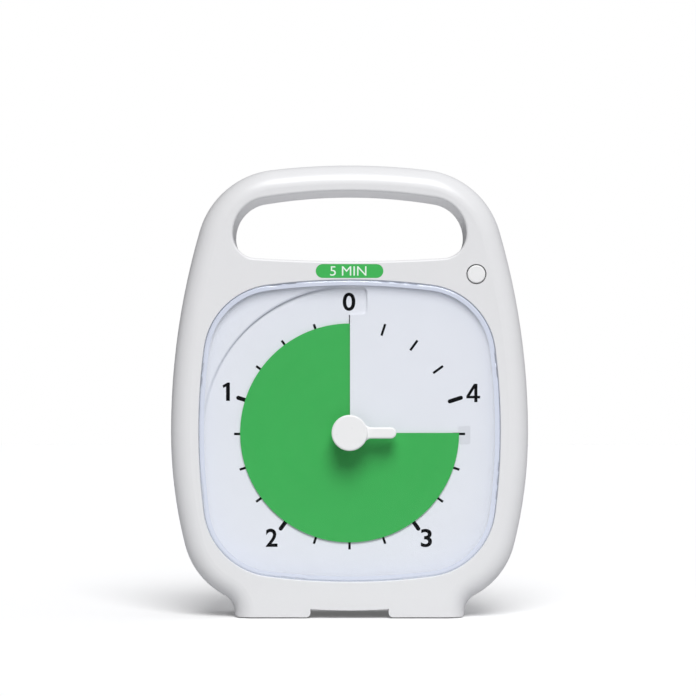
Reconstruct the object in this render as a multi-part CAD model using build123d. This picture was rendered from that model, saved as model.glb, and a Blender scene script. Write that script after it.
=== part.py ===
from build123d import *
import math
import os

# A table-top visual countdown timer: a coloured disk turns back through a slit in the
# dial as the time runs out. Millimetres. The front faces -Y, +X is to the right, +Z is up,
# and the origin is at the bottom centre, on the surface that the foot pads stand on.

# ---- Overall form -----------------------------------------------------------------
overall_height = 178.0
overall_depth = 50.0
widest_half_width = 70.4
widest_height = 72.9
top_radius = 260.0
shoulder_half_width = 50.16
hip_half_width = 57.15
shoulder_radius = 33.6
hip_radius = 31.1
body_underside = 5.0
neck_radius = 7.5
foot_inner = 15.3
foot_outer = 45.3
foot_top = 20.0
foot_corner_radius = 1.8
notch_height = 3.2
notch_radius = 206.0
wall = 2.4
front_edge_radius = 8.0
inner_edge_radius = 5.0
rear_edge_radius = 7.0
front_half_depth = 15.0
parting_chamfer = 0.35
handle_depth = 25.0

# ---- Hand opening -----------------------------------------------------------------
opening_half_width = 45.7
handle_height = 10.8
bridge_height = 7.5
opening_top_radius = 210.0
opening_bottom_radius = 570.0
opening_upper_share = 0.682
opening_lower_share = 0.463
opening_edge_radius = 1.0

# ---- Window and lens --------------------------------------------------------------
window_half_size = 58.9
window_rise = 0.8
window_side_radius = 249.7
window_corner_radius = 28.5
window_gap = 0.15
window_edge_radius = 0.4
lens_wall = 1.6
lens_proud = 0.6
lens_rim_width = 2.0
lens_rim_step = 0.4
lens_edge_radius = 0.8
lens_flange_width = 2.0
lens_flange_thickness = 1.4
trap_gap = 0.3
trap_wall = 1.2

# ---- Knob and spindle -------------------------------------------------------------
knob_proud = 7.4
knob_clearance = 0.7
knob_diameter = 14.0
pointer_reach = 18.2
pointer_width = 4.4
pointer_thickness = 4.6
pointer_neck_radius = 3.0
knob_edge_radius = 0.7
knob_bore_depth = 5.2
spindle_diameter = 4.0
spindle_flat = 1.5
running_fit = 0.05
press_gap = 0.02
lens_hole_clearance = 0.5

# ---- Dial and countdown disk ------------------------------------------------------
dial_height = 72.6
dial_rise = 1.6
dial_thickness = 0.4
dial_low_setback = 5.8
dial_bore = 10.6
slit_width = 0.4
slit_reach = 46.4
recess_radius = 57.5
recess_angle = 78.0
recess_wall = 0.6
zero_tab_width = 7.0
zero_tab_corner = 2.5
skirt_radius = 46.6
skirt_wall = 1.2
disk_diameter = 86.0
disk_thickness = 0.4
disk_slot = 0.6
hub_diameter = 9.0
hub_length = 3.0
hub_lead = 0.7
rest_angle = 270.0

# ---- Dial carrier -----------------------------------------------------------------
carrier_setback = 8.0
carrier_thickness = 1.6
ear_radius = 4.2
carrier_rib_height = 3.0
carrier_rib_offset = 34.0
carrier_rib_length = 60.0

# ---- Screws and bosses ------------------------------------------------------------
boss_radius = 3.4
screw_thread = 2.4
screw_shank_gap = 0.05
screw_clearance = 0.5
screw_head = 5.6
screw_head_height = 2.0
screw_recess = 6.4
screw_seat_depth = 7.0
pillar_radius = 4.4
screw_bite = 5.0
upper_screw_bite = 10.0
screw_round_share = 0.25
cross_slot = (2.8, 0.7, 0.9)
lower_boss_offset = 6.0
screw_tip_gap = 0.6
upper_boss_x = 52.6
upper_boss_drop = 28.4
carrier_screw_offset = 5.5
small_screw_thread = 1.8
small_screw_head = 3.6
small_screw_head_height = 1.4

# ---- Push button ------------------------------------------------------------------
button_x = 49.6
button_drop = 5.1
button_diameter = 7.0
button_ring_gap = 0.45
button_proud = 0.3
button_travel = 0.8
button_edge_radius = 0.5
button_flange = 9.6
button_flange_thickness = 1.0
button_flange_gap = 0.2
button_switch_gap = 0.4
button_stem = 3.0
switch_size = 6.0
switch_depth = 3.5
switch_bore_gap = 0.3
switch_bore_depth = 2.0
stem_engagement = 0.6
button_board = (15.0, 7.0, 1.2)
button_post = 1.3
button_post_spread = 6.2
stake_pin_radius = 0.7
stake_height = 0.8

# ---- Label ------------------------------------------------------------------------
label_width = 26.4
label_height = 5.4
label_drop = 3.9
label_thickness = 0.5
label_gap = 0.03

# ---- Movement ---------------------------------------------------------------------
movement_size = 56.0
movement_corner = 5.0
movement_ear_x = 31.0
movement_ear_radius = 3.4
movement_plate = 1.6
movement_wall = 1.2
movement_back = 1.4
movement_depth = 15.4
pivot_radius = 0.6
pivot_depth = 0.9
pressure_angle = math.radians(25.0)
tooth_addendum = 0.7
tooth_root = 0.95
mesh_clearance = 0.05
flank_points = 4
pinion_teeth = 10
centre_teeth = 60
train_teeth = 50
centre_module = 0.5
third_module = 0.4
second_module = 0.3
third_bearing = 230.0
second_bearing = 340.0
rotor_bearing = 20.0
centre_wheel_lift = 8.8
third_wheel_lift = 6.4
second_wheel_lift = 4.0
wheel_thickness = 1.3
pinion_overlap = 0.3
spoke_holes = 5
spoke_hole_share = 0.36
wheel_hub_wall = 1.6
clutch_collar_radius = 5.0
clutch_collar_thickness = 1.0
clutch_gap = 0.1
clutch_spring_thickness = 0.5
clutch_arms = 3
clutch_arm_reach = 6.0
clutch_arm_width = 2.0
clip_radius = 3.2
clip_groove_radius = 1.5
clip_thickness = 0.6
clip_mouth = 2.2
bush_setback = 0.2
pivot_reach = 0.8
bush_outer = 7.0
bush_length = 4.4
rotor_magnet_radius = 3.2
rotor_magnet_thickness = 2.4
rotor_gap = 0.5
stator_thickness = 0.8
stator_pad = (21.0, 9.6)
stator_arm = 4.6
stator_arm_x = 11.8
coil_core = (4.0, 1.2)
coil_x = 22.0
coil_length = 16.5
coil_section = (8.6, 4.6)
coil_corner = 1.8
bobbin_flange = (9.2, 5.2, 0.9)
bobbin_sleeve = 0.5
coil_rest = 1.4
stator_setback = 1.5
movement_board_lift = 2.8
movement_board = (24.0, 14.0, 1.0)
crystal_can = (2.0, 6.0)
resin_drop = (4.0, 1.0)

# ---- Battery bay and door ---------------------------------------------------------
cell_diameter = 14.5
cell_length = 49.2
cell_nub = (5.4, 1.3)
cell_edge_radius = 0.8
bay_drop = 14.6
bay_side_gap = 1.15
bay_floor_gap = 0.2
bay_lid_gap = 0.5
bay_floor = 1.6
bay_block_margin = 1.2
contact_thickness = 0.4
contact_size = 11.0
contact_dimple = (2.6, 0.5)
spring_length = 6.0
spring_wire = 0.7
spring_turns = 4
spring_radii = (4.4, 2.2)
spring_bite = 0.03
door_thickness = 2.0
door_half_width = 30.6
door_gap = 0.3
door_above_cell = 11.2
door_axis_below_cell = 9.6
door_edge_radius = 1.6
door_pin_radius = 0.9
door_pin_length = 1.8
door_grip_ribs = 5
door_grip_rib = (16.0, 0.8, 0.5)
door_grip_pitch = 2.2
finger_notch_radius = 7.0
finger_notch_depth = 1.1

# ---- Sound board, loudspeaker and volume knob -------------------------------------
speaker_x = -34.0
speaker_rise = 2.0
speaker_diameter = 28.0
speaker_depth = 5.0
speaker_cone = 24.0
speaker_dish = 2.0
speaker_magnet_lift = 2.0
speaker_magnet_radius = 6.0
speaker_dome_radius = 4.0
speaker_skin = 0.5
speaker_back_gap = 2.7
speaker_gap = 0.2
speaker_ring_wall = 1.6
speaker_ledge = 2.0
grille_hole = 1.8
grille_ring_pitch = 4.0
grille_ring_holes = 6
grille_ring_count = 2
board_x = 31.0
board_rise = 0.4
board_size = (44.0, 22.0)
board_thickness = 1.6
board_post = 2.4
board_post_inset = 3.0
volume_x = 34.0
volume_shaft_run = 3.0
volume_knob = 15.0
volume_knob_depth = 4.2
volume_proud = 0.3
volume_cup_gap = 0.8
volume_floor_gap = 0.4
volume_cup_wall = 1.6
volume_flutes = 18
volume_flute_radius = 0.6
volume_pointer = (1.0, 4.6, 0.5)
volume_shaft = 4.0
volume_body = (11.0, 10.0, 5.2)
chip_size = (7.0, 5.0, 1.4)
chip_shares = (-0.45, 0.45)
capacitor_size = (5.0, 6.5)
capacitor_shares = (-0.3, -0.45)
capacitor_groove = 0.3
plug_size = (6.0, 4.5, 5.0)
battery_plug_shares = (0.15, -0.7)
speaker_plug_shares = (-0.78, 0.0)

# ---- Foot pads --------------------------------------------------------------------
pad_length = 22.0
pad_width = 7.0
pad_thickness = 2.0
pad_proud = 0.5
pad_corner = 3.0
pad_gap = 0.05
front_pad_setback = 8.0
rear_pad_setback = 9.0

# ---- Wires ------------------------------------------------------------------------
wire_diameter = 1.0
wire_pitch = 1.8
wire_arc_share = 0.45
lead_side = 50.0
lead_side_step = 6.0
wire_bow = 4.0
lead_climb = (0.25, 0.444, 0.6, 0.79)

# ---- Worked-out places ------------------------------------------------------------
def arc_radius(run, rise):
    """The radius of an arc that leaves a line at its end and is a rise away after a run."""
    return (rise**2 + run**2) / (2 * rise)


def arc_fall(radius, run):
    """How far an arc falls away from its middle's tangent after a run."""
    return radius - math.sqrt(radius**2 - run**2)


rear_y = overall_depth / 2
lens_front_y = -overall_depth / 2 + knob_proud
front_y = lens_front_y + lens_proud
front_inside_y = front_y + wall
split_y = front_y + front_half_depth
handle_rear_y = front_y + handle_depth
lean_radius = arc_radius(overall_height, rear_y - handle_rear_y)
upper_side_radius = arc_radius(
    overall_height - widest_height, widest_half_width - shoulder_half_width
)
lower_side_radius = arc_radius(
    widest_height - body_underside, widest_half_width - hip_half_width
)
foot_underside = pad_proud
carrier_y = front_y + carrier_setback
carrier_back_y = carrier_y + carrier_thickness
dial_low_y = front_y + dial_low_setback
movement_back_y = carrier_back_y + movement_depth
plate_back_y = carrier_back_y + movement_plate
cover_inside_y = movement_back_y - movement_back
centre_wheel_y = plate_back_y + centre_wheel_lift
third_wheel_y = plate_back_y + third_wheel_lift
second_wheel_y = plate_back_y + second_wheel_lift
carrier_margin = lens_flange_width + trap_gap + trap_wall
window_height = dial_height + window_rise
opening_top = overall_height - handle_height
opening_bottom = window_height + window_half_size + bridge_height
opening_end_height = opening_top - arc_fall(opening_top_radius, opening_half_width)
opening_end_height -= opening_bottom + arc_fall(opening_bottom_radius, opening_half_width)
opening_upper_corner = opening_upper_share * opening_end_height
opening_lower_corner = opening_lower_share * opening_end_height
upper_boss = (upper_boss_x, overall_height - upper_boss_drop)
button_place = (button_x, opening_bottom - button_drop)
label_centre = opening_bottom - label_drop
board_height = dial_height + movement_size / 2 + board_rise + board_size[1] / 2
board_centre = (board_x, board_height)
volume_place = (volume_x, board_height)
speaker_place = (speaker_x, board_height + speaker_rise)
cell_height = dial_height - movement_size / 2 - bay_drop
door_top = cell_height + door_above_cell
door_axis_height = cell_height - door_axis_below_cell
pad_places = (front_y + front_pad_setback, rear_y - rear_pad_setback)
side_shift = window_side_radius - window_half_size
corner_reach = window_side_radius - window_corner_radius
corner_middle = (math.sqrt(2 * corner_reach**2 - side_shift**2) - side_shift) / 2
reach = 2 * overall_height
touch = 0.01
full_turn = 360


# ---- General helpers --------------------------------------------------------------
def slab(outline, front, back):
    """A front-view outline made solid between two depths."""
    return extrude(Plane.XZ.offset(-back) * outline, amount=back - front)


def rod(place, radius, front, back):
    """A round bar along the depth, at a front-view place."""
    return slab(Pos(*place) * Circle(radius), front, back)


def block(centre, size, front, back):
    """A rectangular block, at a front-view place, between two depths."""
    return slab(Pos(*centre) * Rectangle(*size), front, back)


def bounds_box(x, y, z):
    """A box from its lowest and highest values on each axis."""
    middle = [(low + high) / 2 for low, high in (x, y, z)]
    size = [high - low for low, high in (x, y, z)]
    return Pos(*middle) * Box(*size)


def both_sides(shape):
    """The shape and its mirror image on the other side of the middle."""
    return shape + mirror(shape, about=Plane.YZ)


def polar(centre, radius, degrees):
    """A front-view point at a distance and a bearing from another, counter-clockwise."""
    turn = math.radians(degrees)
    return (centre[0] + radius * math.cos(turn), centre[1] + radius * math.sin(turn))


def rear_surface_y(height, inset=0.0):
    """Depth of the leaning back at a height, less an inset measured through the wall."""
    return rear_y - lean_radius + math.sqrt((lean_radius - inset) ** 2 - height**2)


dial_centre = (0.0, dial_height)


# ---- Front-view outlines ----------------------------------------------------------
def side_field(side_radius):
    """Everything between the two bowed sides."""
    field = Pos(widest_half_width - side_radius, widest_height) * Circle(side_radius)
    return field & mirror(field, about=Plane.YZ)


def half_plane(height, up):
    """Everything above (up = 1) or below (up = -1) a height."""
    return Pos(0, height + up * reach / 2) * Rectangle(reach, reach)


def body_outline():
    """The whole silhouette: bowed top and sides, a waist, and two feet."""
    upper = side_field(upper_side_radius) & half_plane(widest_height, 1)
    upper &= Pos(0, overall_height - top_radius) * Circle(top_radius)
    lower = side_field(lower_side_radius) & half_plane(widest_height, -1)
    lower &= half_plane(body_underside, 1)
    upper = fillet(upper.vertices().group_by(Axis.Y)[-1], shoulder_radius)
    lower = fillet(lower.vertices().group_by(Axis.Y)[0], hip_radius)
    pedestal = Rectangle(2 * foot_outer, 2 * foot_top) & half_plane(foot_underside, 1)
    notch = Rectangle(2 * foot_inner, foot_top)
    notch -= Pos(0, notch_height + notch_radius) * Circle(notch_radius)
    outline = upper + lower + pedestal - notch
    necks = [
        corner
        for corner in outline.vertices()
        if abs(abs(corner.X) - foot_outer) < touch and corner.Y > body_underside
    ]
    return fillet(necks, neck_radius)


def foot_corner(edge, inward):
    """What rounding takes off a foot's lower corner; inward is the way to the foot's middle."""
    square = Pos(edge, foot_underside) * Rectangle(2 * foot_corner_radius, 2 * foot_corner_radius)
    middle = (edge + inward * foot_corner_radius, foot_underside + foot_corner_radius)
    return both_sides(square - Pos(*middle) * Circle(foot_corner_radius))


def opening_outline():
    """The hand opening: arched top, nearly flat bottom and round ends."""
    outline = Pos(0, opening_top - opening_top_radius) * Circle(opening_top_radius)
    outline &= Pos(0, opening_bottom + opening_bottom_radius) * Circle(opening_bottom_radius)
    outline &= Pos(0, opening_bottom) * Rectangle(2 * opening_half_width, reach)
    rows = outline.vertices().group_by(Axis.Y)
    outline = fillet(rows[-1], opening_upper_corner)
    return fillet(outline.vertices().group_by(Axis.Y)[0], opening_lower_corner)


def window_outline():
    """The window: a square with four bowed sides and large round corners."""
    level = Pos(side_shift, 0) * Circle(window_side_radius)
    level &= Pos(-side_shift, 0) * Circle(window_side_radius)
    outline = level & Rot(0, 0, 90) * level
    return Pos(0, window_height) * fillet(outline.vertices(), window_corner_radius)


def outside_window_corner(margin):
    """The right upper front-view point at a margin outside the window's round corner."""
    step = corner_middle + (window_corner_radius + margin) * math.sqrt(0.5)
    return (step, window_height + step)


def stadium(centre, length, height):
    """A bar with half-round ends."""
    return Pos(*centre) * SlotOverall(length, height)


body = body_outline()
opening = opening_outline()
window = window_outline()


# ---- Housing ----------------------------------------------------------------------
def foot_to_foot_edges(face, inset):
    """A face's edges that run from one foot's side over the top to the other's."""
    return [
        edge
        for edge in face.edges()
        if abs((edge @ 0.5).X) > foot_outer - inset + touch or (edge @ 0.5).Z > foot_top
    ]


def body_inside(inset):
    """The silhouette drawn in by a wall's depth, its left half mirrored from its right."""
    right = offset(body, -inset, kind=Kind.INTERSECTION)
    right &= Pos(reach / 2, 0) * Rectangle(reach, 2 * reach)
    return right + mirror(right, about=Plane.YZ)


def front_form(inset, edge_radius):
    """The front half's outer form, or the same form a wall's depth inside it."""
    form = slab(body_inside(inset), front_y + inset, split_y)
    rim = foot_to_foot_edges(form.faces().sort_by(Axis.Y)[0], inset)
    return fillet(rim, edge_radius)


def rear_form(inset):
    """The rear half's outer form, whose back leans forward towards the handle."""
    form = slab(body_inside(inset), split_y, rear_y)
    lean_middle = Pos(0, rear_y - lean_radius, 0) * Rot(0, 90, 0)
    form &= lean_middle * Cylinder(lean_radius - inset, reach)
    rim = foot_to_foot_edges(form.faces().sort_by(Axis.Y)[-1], inset)
    return fillet(rim, rear_edge_radius - inset)


def edges_along(solid, outline, depth_at):
    """A solid's edges that follow a front-view outline on a surface."""
    found = []
    for edge in solid.edges():
        middle = edge @ 0.5
        if abs(middle.Y - depth_at(middle.Z)) < touch:
            point = Vertex(middle.X, middle.Z, 0)
            if min(line.distance_to(point) for line in outline.edges()) < touch:
                found.append(edge)
    return found


def hollow(form, cavity, front, back):
    """A half of the housing: its walls, and the tunnel round the hand opening."""
    shell = form - cavity
    shell += slab(offset(opening, wall, kind=Kind.INTERSECTION), front, back) & form
    return shell - slab(opening, front - wall, back + wall)


foot_corners = foot_corner(foot_inner, 1) + foot_corner(foot_outer, -1)
lower_corner = outside_window_corner(lower_boss_offset)
lower_boss = (lower_corner[0], 2 * window_height - lower_corner[1])
front_outer = front_form(0, front_edge_radius)
rear_outer = rear_form(0)
rear_inner = rear_form(wall)
carrier_screw_place = outside_window_corner(carrier_screw_offset)
pilot_radius = screw_thread / 2 + screw_shank_gap
small_pilot_radius = small_screw_thread / 2 + screw_shank_gap
switch_y = front_inside_y + button_flange_gap + button_flange_thickness + button_travel
switch_y += button_switch_gap
button_board_y = switch_y + switch_depth
stake_end_y = button_board_y + button_board[2] + stake_height
button_posts = [
    (button_place[0] + side * button_post_spread, button_place[1]) for side in (-1, 1)
]


def make_front_shell():
    """The front half: window opening, light trap, bosses and the button's hole and posts."""
    shell = hollow(front_outer, front_form(wall, inner_edge_radius), front_y, split_y)
    trap = offset(window, carrier_margin) - offset(window, carrier_margin - trap_wall)
    shell += slab(trap, front_inside_y - touch, carrier_y)
    lower = rod(lower_boss, boss_radius, front_inside_y - touch, carrier_y)
    lower -= rod(lower_boss, pilot_radius, carrier_y - screw_bite, carrier_y)
    upper = rod(upper_boss, boss_radius, front_inside_y - touch, split_y)
    upper -= rod(upper_boss, pilot_radius, split_y - upper_screw_bite, split_y)
    ear_post = rod(carrier_screw_place, boss_radius, front_inside_y - touch, carrier_y)
    ear_post -= rod(carrier_screw_place, small_pilot_radius, carrier_y - screw_bite, carrier_y)
    shell += both_sides(lower + upper + ear_post)
    shell -= slab(offset(window, window_gap), front_y - wall, front_inside_y + touch)
    shell -= rod(button_place, button_diameter / 2 + button_ring_gap, front_y, front_inside_y)
    for place in button_posts:
        shell += rod(place, button_post, front_inside_y - touch, button_board_y)
        shell += rod(place, stake_pin_radius, button_board_y - touch, stake_end_y)
        shell += rod(place, button_post, button_board_y + button_board[2], stake_end_y)
    pocket = stadium((0, label_centre), label_width, label_height)
    shell -= slab(offset(pocket, label_gap), front_y, front_y + label_thickness)
    shell -= foot_pads_at(pad_places[0], pad_gap)
    shell = fillet(edges_along(shell, opening, lambda height: front_y), opening_edge_radius)
    rim = edges_along(shell, offset(window, window_gap), lambda height: front_y)
    shell = fillet(rim, window_edge_radius)
    shell = chamfer(edges_along(shell, body, lambda height: split_y), parting_chamfer)
    return shell - slab(foot_corners, front_y, split_y)


def foot_pads_at(depth, gap):
    """The two pads under one half, or, with a gap, the pockets that take them."""
    middle = (foot_inner + foot_outer) / 2
    outline = RectangleRounded(pad_length + 2 * gap, pad_width + 2 * gap, pad_corner + gap)
    pad = extrude(Pos(middle, depth, 0) * outline, amount=pad_thickness + gap)
    return both_sides(pad)


# ---- Rear half --------------------------------------------------------------------
cell_y = rear_surface_y(cell_height, door_thickness) - bay_lid_gap - cell_diameter / 2
bay_floor_y = cell_y - cell_diameter / 2 - bay_floor_gap
bay_half_height = cell_diameter / 2 + bay_side_gap
bay_half_length = (cell_length + cell_nub[1] + spring_length + contact_dimple[1]) / 2
bay_half_length += contact_thickness
door_axis_y = rear_surface_y(door_axis_height) - door_edge_radius
door_bottom = door_axis_height - door_edge_radius
door_pin_end = door_half_width + door_pin_length
bay_block_half = max(bay_half_length, door_pin_end) + door_gap + bay_block_margin
board_posts = [
    (
        board_centre[0] + side * (board_size[0] / 2 - board_post_inset),
        board_centre[1] + level * (board_size[1] / 2 - board_post_inset),
    )
    for side in (-1, 1)
    for level in (-1, 1)
]
volume_back_y = rear_surface_y(volume_place[1]) + volume_proud
volume_front_y = volume_back_y - volume_knob_depth
volume_floor_y = volume_front_y - volume_floor_gap
board_back_y = volume_floor_y - volume_cup_wall - volume_shaft_run - volume_body[2]
board_y = board_back_y - board_thickness
speaker_back_y = rear_surface_y(speaker_place[1]) - wall - speaker_back_gap
speaker_front_y = speaker_back_y - speaker_depth


def door_cylinder(radius, half_length):
    """A bar along the battery door's turning axis."""
    axis = Pos(0, door_axis_y, door_axis_height) * Rot(0, 90, 0)
    return axis * Cylinder(radius, 2 * half_length)


def battery_bay():
    """The solid block round the cell, before its pocket is cut."""
    low = door_bottom - door_gap - bay_floor
    high = door_top + door_gap + bay_floor
    middle = (low + high) / 2
    size = (2 * bay_block_half, high - low)
    return block((0, middle), size, bay_floor_y - bay_floor, rear_y) & rear_outer


def battery_cuts():
    """The cell's pocket, the door's recess with its hinge groove, and the wire holes."""
    size = (2 * bay_half_length, 2 * bay_half_height)
    pocket = block((0, cell_height), size, bay_floor_y, rear_y)
    low = door_bottom - door_gap
    high = door_top + door_gap
    size = (2 * (door_half_width + door_gap), high - low)
    recess = block((0, (low + high) / 2), size, bay_floor_y, rear_y)
    recess -= rear_form(door_thickness + door_gap)
    groove = door_cylinder(door_edge_radius + door_gap, door_half_width + door_gap)
    pin_holes = door_cylinder(door_pin_radius + running_fit, door_pin_end + running_fit)
    notch_front = rear_surface_y(door_top) - finger_notch_depth
    notch = rod((0, door_top + door_gap), finger_notch_radius, notch_front, rear_y)
    wire_hole = Pos(0, cell_y, cell_height) * Rot(0, 90, 0)
    wire_hole *= Cylinder(wire_diameter / 2 + door_gap, 2 * bay_block_half + wall)
    return pocket + recess + groove + pin_holes + notch + wire_hole


def speaker_ring():
    """The ring that holds the loudspeaker against a ledge at the back."""
    bore = speaker_diameter / 2 + speaker_gap
    ring = rod(speaker_place, bore + speaker_ring_wall, speaker_front_y, rear_y)
    ring -= rod(speaker_place, bore, speaker_front_y, speaker_front_y + speaker_depth)
    ring -= rod(speaker_place, speaker_diameter / 2 - speaker_ledge, speaker_front_y, rear_y)
    return ring & rear_outer


def sound_holes():
    """Rings of round holes in front of the loudspeaker."""
    holes = rod(speaker_place, grille_hole / 2, speaker_front_y, rear_y)
    for ring in range(1, grille_ring_count + 1):
        for number in range(ring * grille_ring_holes):
            turn = full_turn * number / (ring * grille_ring_holes)
            place = polar(speaker_place, ring * grille_ring_pitch, turn)
            holes += rod(place, grille_hole / 2, speaker_front_y, rear_y)
    return holes


def screw_seat_y(place):
    """Depth of the flat under a housing screw's head."""
    return rear_surface_y(place[1]) - screw_seat_depth


def screw_pillar(place, front):
    """A rear pillar with its clearance hole and head recess, open to the back."""
    pillar = rod(place, pillar_radius, max(front, split_y), rear_y) & rear_outer
    if front < split_y:
        pillar += rod(place, pillar_radius, front, split_y)
    return pillar


def screw_hole(place, front):
    """What a housing screw's shank and head take out of a rear pillar."""
    hole = rod(place, (screw_thread + screw_clearance) / 2, front, rear_y)
    return hole + rod(place, screw_recess / 2, screw_seat_y(place), rear_y)


def make_rear_shell():
    """The rear half: pillars, battery bay, loudspeaker ring, volume cup and board posts."""
    shell = hollow(rear_outer, rear_inner, split_y, rear_y)
    pillars = screw_pillar(lower_boss, carrier_back_y) + screw_pillar(upper_boss, split_y)
    shell += both_sides(pillars)
    shell += battery_bay()
    shell += speaker_ring()
    bore = volume_knob / 2 + volume_cup_gap
    cup_front = volume_floor_y - volume_cup_wall
    shell += rod(volume_place, bore + volume_cup_wall, cup_front, rear_y) & rear_outer
    for place in board_posts:
        post = rod(place, board_post, board_back_y, rear_y) & rear_outer
        shell += post - rod(place, small_pilot_radius, board_back_y, board_back_y + screw_bite)
    holes = screw_hole(lower_boss, carrier_back_y) + screw_hole(upper_boss, split_y)
    shell -= both_sides(holes)
    shell -= battery_cuts()
    shell -= sound_holes()
    shell -= rod(volume_place, bore, volume_floor_y, rear_y)
    shell -= rod(volume_place, volume_shaft / 2 + door_gap, cup_front, volume_floor_y)
    shell -= foot_pads_at(pad_places[1], pad_gap)
    shell = fillet(edges_along(shell, opening, rear_surface_y), opening_edge_radius)
    shell = chamfer(edges_along(shell, body, lambda height: split_y), parting_chamfer)
    return shell - slab(foot_corners, split_y, rear_y)


def make_battery_door():
    """The battery door: a piece of the back with a round hinge edge, pins and grip ribs."""
    size = (2 * door_half_width, door_top - door_axis_height)
    skin = block((0, (door_top + door_axis_height) / 2), size, bay_floor_y, rear_y)
    skin &= rear_outer - rear_form(door_thickness)
    door = skin + door_cylinder(door_edge_radius, door_half_width)
    door += door_cylinder(door_pin_radius, door_pin_end)
    for number in range(door_grip_ribs):
        height = door_top - door_grip_pitch * (number + 1)
        surface = rear_surface_y(height)
        back = surface + door_grip_rib[2]
        door += block((0, height), door_grip_rib[:2], surface - door_grip_rib[2], back)
    return door


# ---- Lens -------------------------------------------------------------------------
def make_lens():
    """The clear lens: a shallow tray with a raised rim and a flange behind the front wall."""
    flange_back_y = front_inside_y + lens_flange_thickness
    pane_back_y = lens_front_y + lens_wall
    lens = slab(window, lens_front_y, flange_back_y)
    lens = fillet(edges_along(lens, window, lambda height: lens_front_y), lens_edge_radius)
    lens += slab(offset(window, lens_flange_width), front_inside_y, flange_back_y)
    lens -= slab(offset(window, -lens_wall), pane_back_y, flange_back_y)
    lens -= slab(offset(window, -lens_rim_width), lens_front_y, lens_front_y + lens_rim_step)
    return lens - rod(dial_centre, spindle_radius + lens_hole_clearance, lens_front_y, pane_back_y)


# ---- Knob and spindle -------------------------------------------------------------
knob_back_y = lens_front_y - knob_clearance
knob_front_y = -overall_depth / 2
spindle_radius = spindle_diameter / 2
bush_front_y = carrier_y + bush_setback
clutch_collar_y = centre_wheel_y + wheel_thickness + clutch_gap
clutch_spring_y = centre_wheel_y - clutch_gap - clutch_spring_thickness
clip_y = clutch_spring_y - clip_thickness - 2 * press_gap
spindle_tip_y = knob_back_y - knob_bore_depth
flat_back_y = bush_front_y - running_fit


def shaft_section(gap):
    """The spindle's round section with its one flat, grown by a gap."""
    section = Circle(spindle_radius + gap)
    keep = Pos(spindle_flat - reach / 2 + gap, 0) * Rectangle(reach, reach)
    return Pos(*dial_centre) * (section & keep)


def make_knob():
    """The setting knob: a round cap with a pointer that lies over the disk's leading edge."""
    cap = Pos(*dial_centre) * Circle(knob_diameter / 2)
    bar_length = pointer_reach + pointer_width / 2
    bar_middle = (pointer_reach - bar_length / 2, dial_height)
    outline = cap + stadium(bar_middle, bar_length, pointer_width)
    necks = [
        corner
        for corner in outline.vertices()
        if touch < corner.X < knob_diameter / 2 and abs(corner.Y - dial_height) > touch
    ]
    outline = fillet(necks, pointer_neck_radius)
    arm = slab(outline, knob_back_y - pointer_thickness, knob_back_y)
    arm = fillet(arm.faces().sort_by(Axis.Y)[0].edges(), knob_edge_radius)
    head = slab(cap, knob_front_y, knob_back_y)
    head = fillet(head.faces().sort_by(Axis.Y)[0].edges(), knob_edge_radius)
    return arm + head - slab(shaft_section(press_gap), spindle_tip_y - press_gap, knob_back_y)


def make_spindle():
    """The steel spindle: keyed flat, clip groove, clutch collar and rear pivot."""
    collar_back_y = clutch_collar_y + clutch_collar_thickness
    spindle = slab(shaft_section(0), spindle_tip_y, flat_back_y)
    spindle += rod(dial_centre, spindle_radius, flat_back_y, collar_back_y)
    spindle += rod(dial_centre, clutch_collar_radius, clutch_collar_y, collar_back_y)
    spindle += rod(dial_centre, pivot_radius, collar_back_y, cover_inside_y + pivot_reach)
    groove = Pos(*dial_centre) * (Circle(spindle_diameter) - Circle(clip_groove_radius))
    return spindle - slab(groove, clip_y - press_gap, clip_y + clip_thickness + press_gap)


def make_retaining_clip():
    """The open clip that snaps into the spindle's groove in front of the clutch spring."""
    clip = Circle(clip_radius) - Circle(clip_groove_radius + press_gap)
    clip -= Pos(0, -clip_radius) * Rectangle(clip_mouth, 2 * clip_radius)
    return slab(Pos(*dial_centre) * clip, clip_y, clip_y + clip_thickness)


def make_clutch_spring():
    """The three-armed spring washer that presses the centre wheel on the clutch collar."""
    star = Circle(clip_radius)
    for number in range(clutch_arms):
        arm = Pos(clutch_arm_reach / 2, 0) * SlotOverall(clutch_arm_reach, clutch_arm_width)
        star += Rot(0, 0, full_turn * number / clutch_arms) * arm
    star = Pos(*dial_centre) * (star - Circle(spindle_radius + press_gap))
    return slab(star, clutch_spring_y, clutch_spring_y + clutch_spring_thickness)


# ---- Dial face, disk and carrier --------------------------------------------------
# The dial and the disk are one turn of the same very shallow screw. Heights are measured
# towards the viewer, and angles from 12 o'clock, counter-clockwise as seen from the front.
dial_frame = Plane(origin=(0, dial_low_y, dial_height), x_dir=(0, 0, 1), z_dir=(0, -1, 0))
dial_slope = dial_rise / full_turn
dial_half = dial_thickness / 2
hub_radius = hub_diameter / 2


def screw_sheet(section, start, end, slope, height):
    """A radial section swept between two angles; height is where it would be at angle 0."""
    rise = abs(slope * (end - start))
    pitch = rise * full_turn / (end - start)
    path = Helix(pitch=pitch, height=rise, radius=skirt_radius, lefthand=slope < 0)
    sheet = sweep(Plane.XZ * section, path=path, is_frenet=True)
    first = end if slope < 0 else start
    return Pos(0, 0, height + slope * first) * Rot(0, 0, first) * sheet


def strip(inner, outer, low, high):
    """A rectangle of the radial section, from its radii and heights."""
    return Pos((inner + outer) / 2, (low + high) / 2) * Rectangle(outer - inner, high - low)


def ring_sector(start, end, inner):
    """Everything beyond a radius, between two angles less than half a turn apart."""
    corners = [(0, 0), polar((0, 0), reach, start), polar((0, 0), reach, end)]
    return make_face(Polyline(*corners, close=True)) - Circle(inner)


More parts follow.
